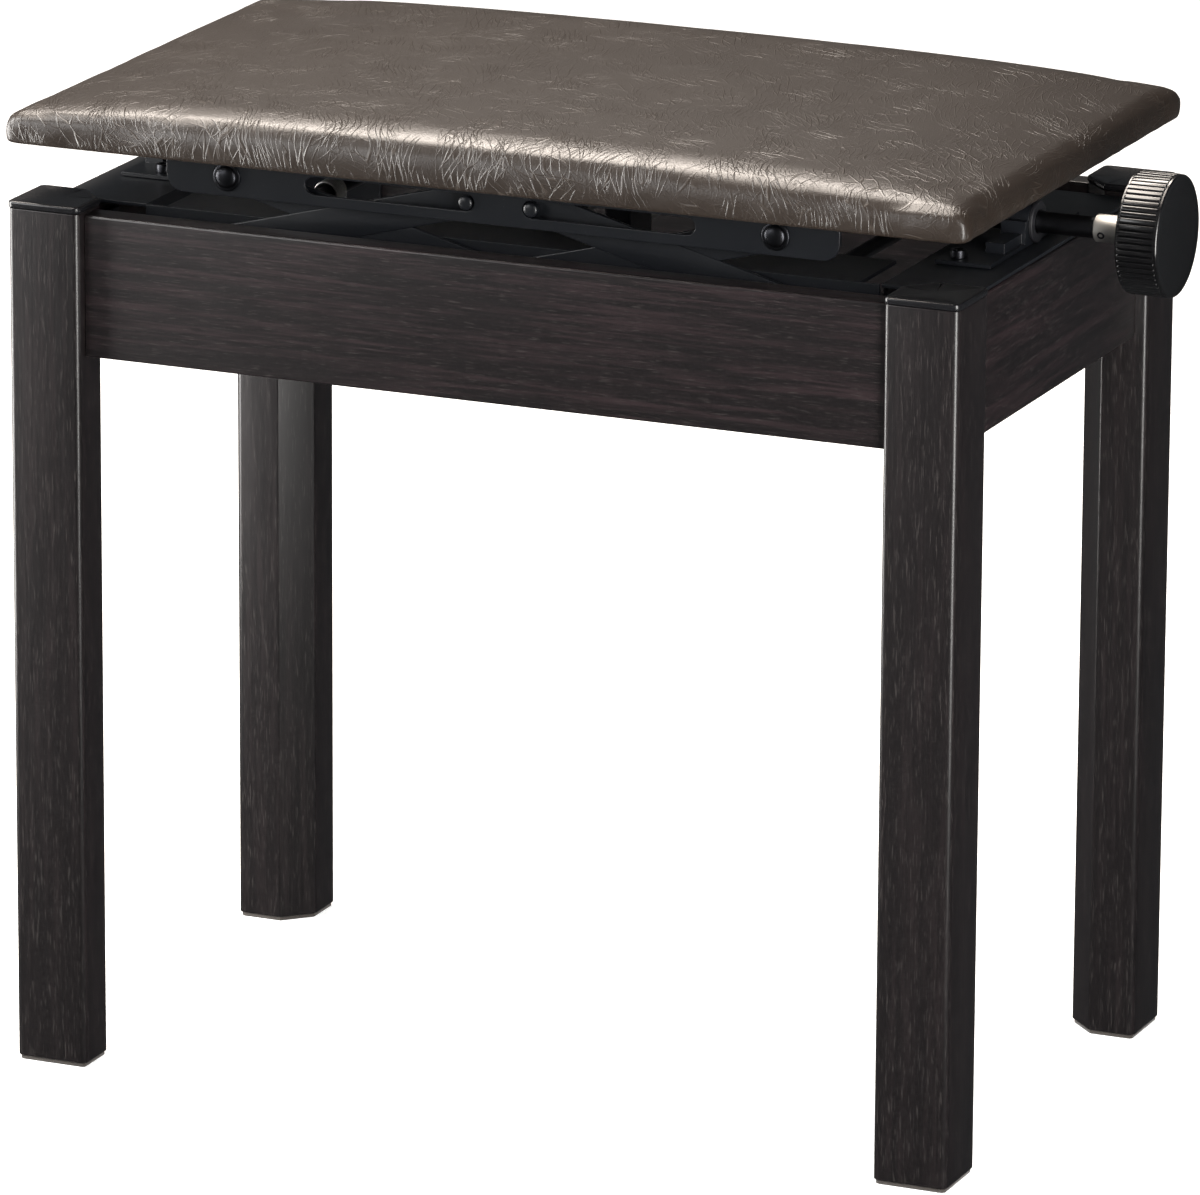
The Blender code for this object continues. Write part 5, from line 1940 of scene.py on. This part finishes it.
@dataclass(frozen=True)
class Softbox:
    """A large soft lamp.

    Attributes:
        name: Its name.
        place: Where it hangs, in metres.
        size: Width and height, in metres.
        watts: Its power.
        colour: Its colour, sRGB hex.
    """

    name: str
    place: tuple[float, float, float]
    size: Row
    watts: float
    colour: str = "#ffffff"

    @property
    def upright(self) -> bool:
        """Whether it is a tall strip that stands on the floor."""
        return self.size[1] > 2 * self.size[0]

    def hang(self, target: Vector) -> None:
        """Makes the lamp and turns it to a target.

        Args:
            target: The point that it looks at; an upright strip turns about the vertical only.
        """
        lamp = bpy.data.lights.new(self.name, "AREA")
        lamp.shape = "RECTANGLE"
        lamp.size, lamp.size_y = self.size
        lamp.energy = self.watts
        lamp.color = linear(self.colour)[:3]
        holder = bpy.data.objects.new(self.name, lamp)
        holder.location = self.place
        way = target - Vector(self.place)
        if self.upright:
            way.z = 0.0
        holder.rotation_euler = way.to_track_quat("-Z", "Y").to_euler()
        bpy.context.scene.collection.objects.link(holder)


@dataclass
class Studio:
    """A pale floor, soft lamps and the camera.

    Attributes:
        floor_half: Half the floor's side, in metres.
        surround: Colour of the room's light.
        surround_strength: Its strength.
        eye: The camera's place, in metres.
        turn: The camera's heading, dip and roll, in radians.
        lens_mm: Focal length on a sensor 36 mm wide.
        lamps: The softboxes.
    """

    floor_half: float = 20.0
    surround: str = "#e8edf2"
    surround_strength: float = 0.07
    eye: tuple[float, float, float] = (1.894106, -4.436753, 1.612917)
    turn: tuple[float, float, float] = (0.407897, 0.277442, 0.005345)
    lens_mm: float = 296.588
    lamps: tuple[Softbox, ...] = (
        Softbox("overhead", (-0.88, 1.1, 2.2), (1.3, 0.5), 54.0, "#fff4e9"),
        Softbox("overhead_front", (-0.7, 0.05, 2.3), (1.2, 0.6), 48.0, "#fff4e9"),
        Softbox("front_left", (-1.9, -2.4, 1.5), (1.2, 1.4), 40.0),
        Softbox("right_strip", (0.95, -0.88, 0.72), (0.34, 1.4), 30.0, "#fffdfa"),
        Softbox("left_strip", (-0.9, -0.3, 0.72), (0.3, 1.4), 26.0, "#fffdfa"),
    )

    def build_floor(self) -> None:
        """A flat sheet under the feet: the outline of a square carried up by its thickness."""
        side = 2 * self.floor_half / MM
        rows = edge_profile(low=-20.0, high=-0.02, edge=1.0)
        floor = Skin().add(loft(rectangle(side, side, radius=100.0), rows)).build("floor")
        floor.data.materials.append(material_of(TABLE))
        floor.visible_glossy = False

    def build_world(self) -> None:
        """A dim room round the bench, and a white backdrop behind it."""
        world = bpy.data.worlds.new("studio")
        world.use_nodes = True
        tree = world.node_tree
        room = tree.nodes["Background"]
        room.inputs["Color"].default_value = linear(self.surround)
        room.inputs["Strength"].default_value = self.surround_strength
        white = add_node(tree, "Background", {"Color": linear("#ffffff"), "Strength": 1.0})
        path = add_node(tree, "LightPath")
        both = add_node(
            tree,
            "MixShader",
            {0: path.outputs["Is Camera Ray"], 1: room.outputs[0], 2: white.outputs[0]},
        )
        tree.links.new(both.outputs[0], tree.nodes["World Output"].inputs["Surface"])
        bpy.context.scene.world = world

    def build_camera(self) -> None:
        """The camera, from its heading, dip and roll.

        Formula: forward is (-sin h cos d, cos h cos d, -sin d); right is level and square to it;
        roll then turns right and up about forward.
        """
        heading, dip, roll = self.turn
        level = Vector((math.cos(heading), math.sin(heading), 0.0))
        across, away = math.sin(heading) * math.cos(dip), math.cos(heading) * math.cos(dip)
        forward = Vector((-across, away, -math.sin(dip)))
        upright = level.cross(forward)
        right = level * math.cos(roll) + upright * math.sin(roll)
        up = upright * math.cos(roll) - level * math.sin(roll)
        lens = bpy.data.cameras.new("camera")
        lens.sensor_width = 36.0
        lens.lens = self.lens_mm
        lens.clip_end = 100.0
        camera = bpy.data.objects.new("camera", lens)
        turn = Matrix((right, up, -forward)).transposed()
        camera.matrix_world = Matrix.Translation(self.eye) @ turn.to_4x4()
        bpy.context.scene.collection.objects.link(camera)
        bpy.context.scene.camera = camera

    def build(self) -> None:
        """Sets up the studio."""
        self.build_floor()
        self.build_world()
        self.build_camera()
        target = Vector((0.0, 0.0, 0.4))
        for lamp in self.lamps:
            lamp.hang(target)
        bpy.context.scene.view_settings.view_transform = "Standard"


def main() -> None:
    """Builds the studio and every sub-assembly."""
    logging.basicConfig(level=logging.INFO, format="%(message)s")
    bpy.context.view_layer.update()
    for part in (Studio(), WoodenFrame(), LiftBase(), Scissor(), ScrewDrive(), Seat()):
        LOG.info("%s", type(part).__name__)
        part.build()


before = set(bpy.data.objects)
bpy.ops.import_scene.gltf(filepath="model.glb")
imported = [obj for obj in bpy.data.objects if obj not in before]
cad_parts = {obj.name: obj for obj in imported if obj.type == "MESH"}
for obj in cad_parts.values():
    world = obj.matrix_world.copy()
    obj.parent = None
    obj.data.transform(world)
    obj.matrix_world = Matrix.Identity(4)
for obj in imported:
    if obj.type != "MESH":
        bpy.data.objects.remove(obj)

if __name__ == "__main__":
    main()
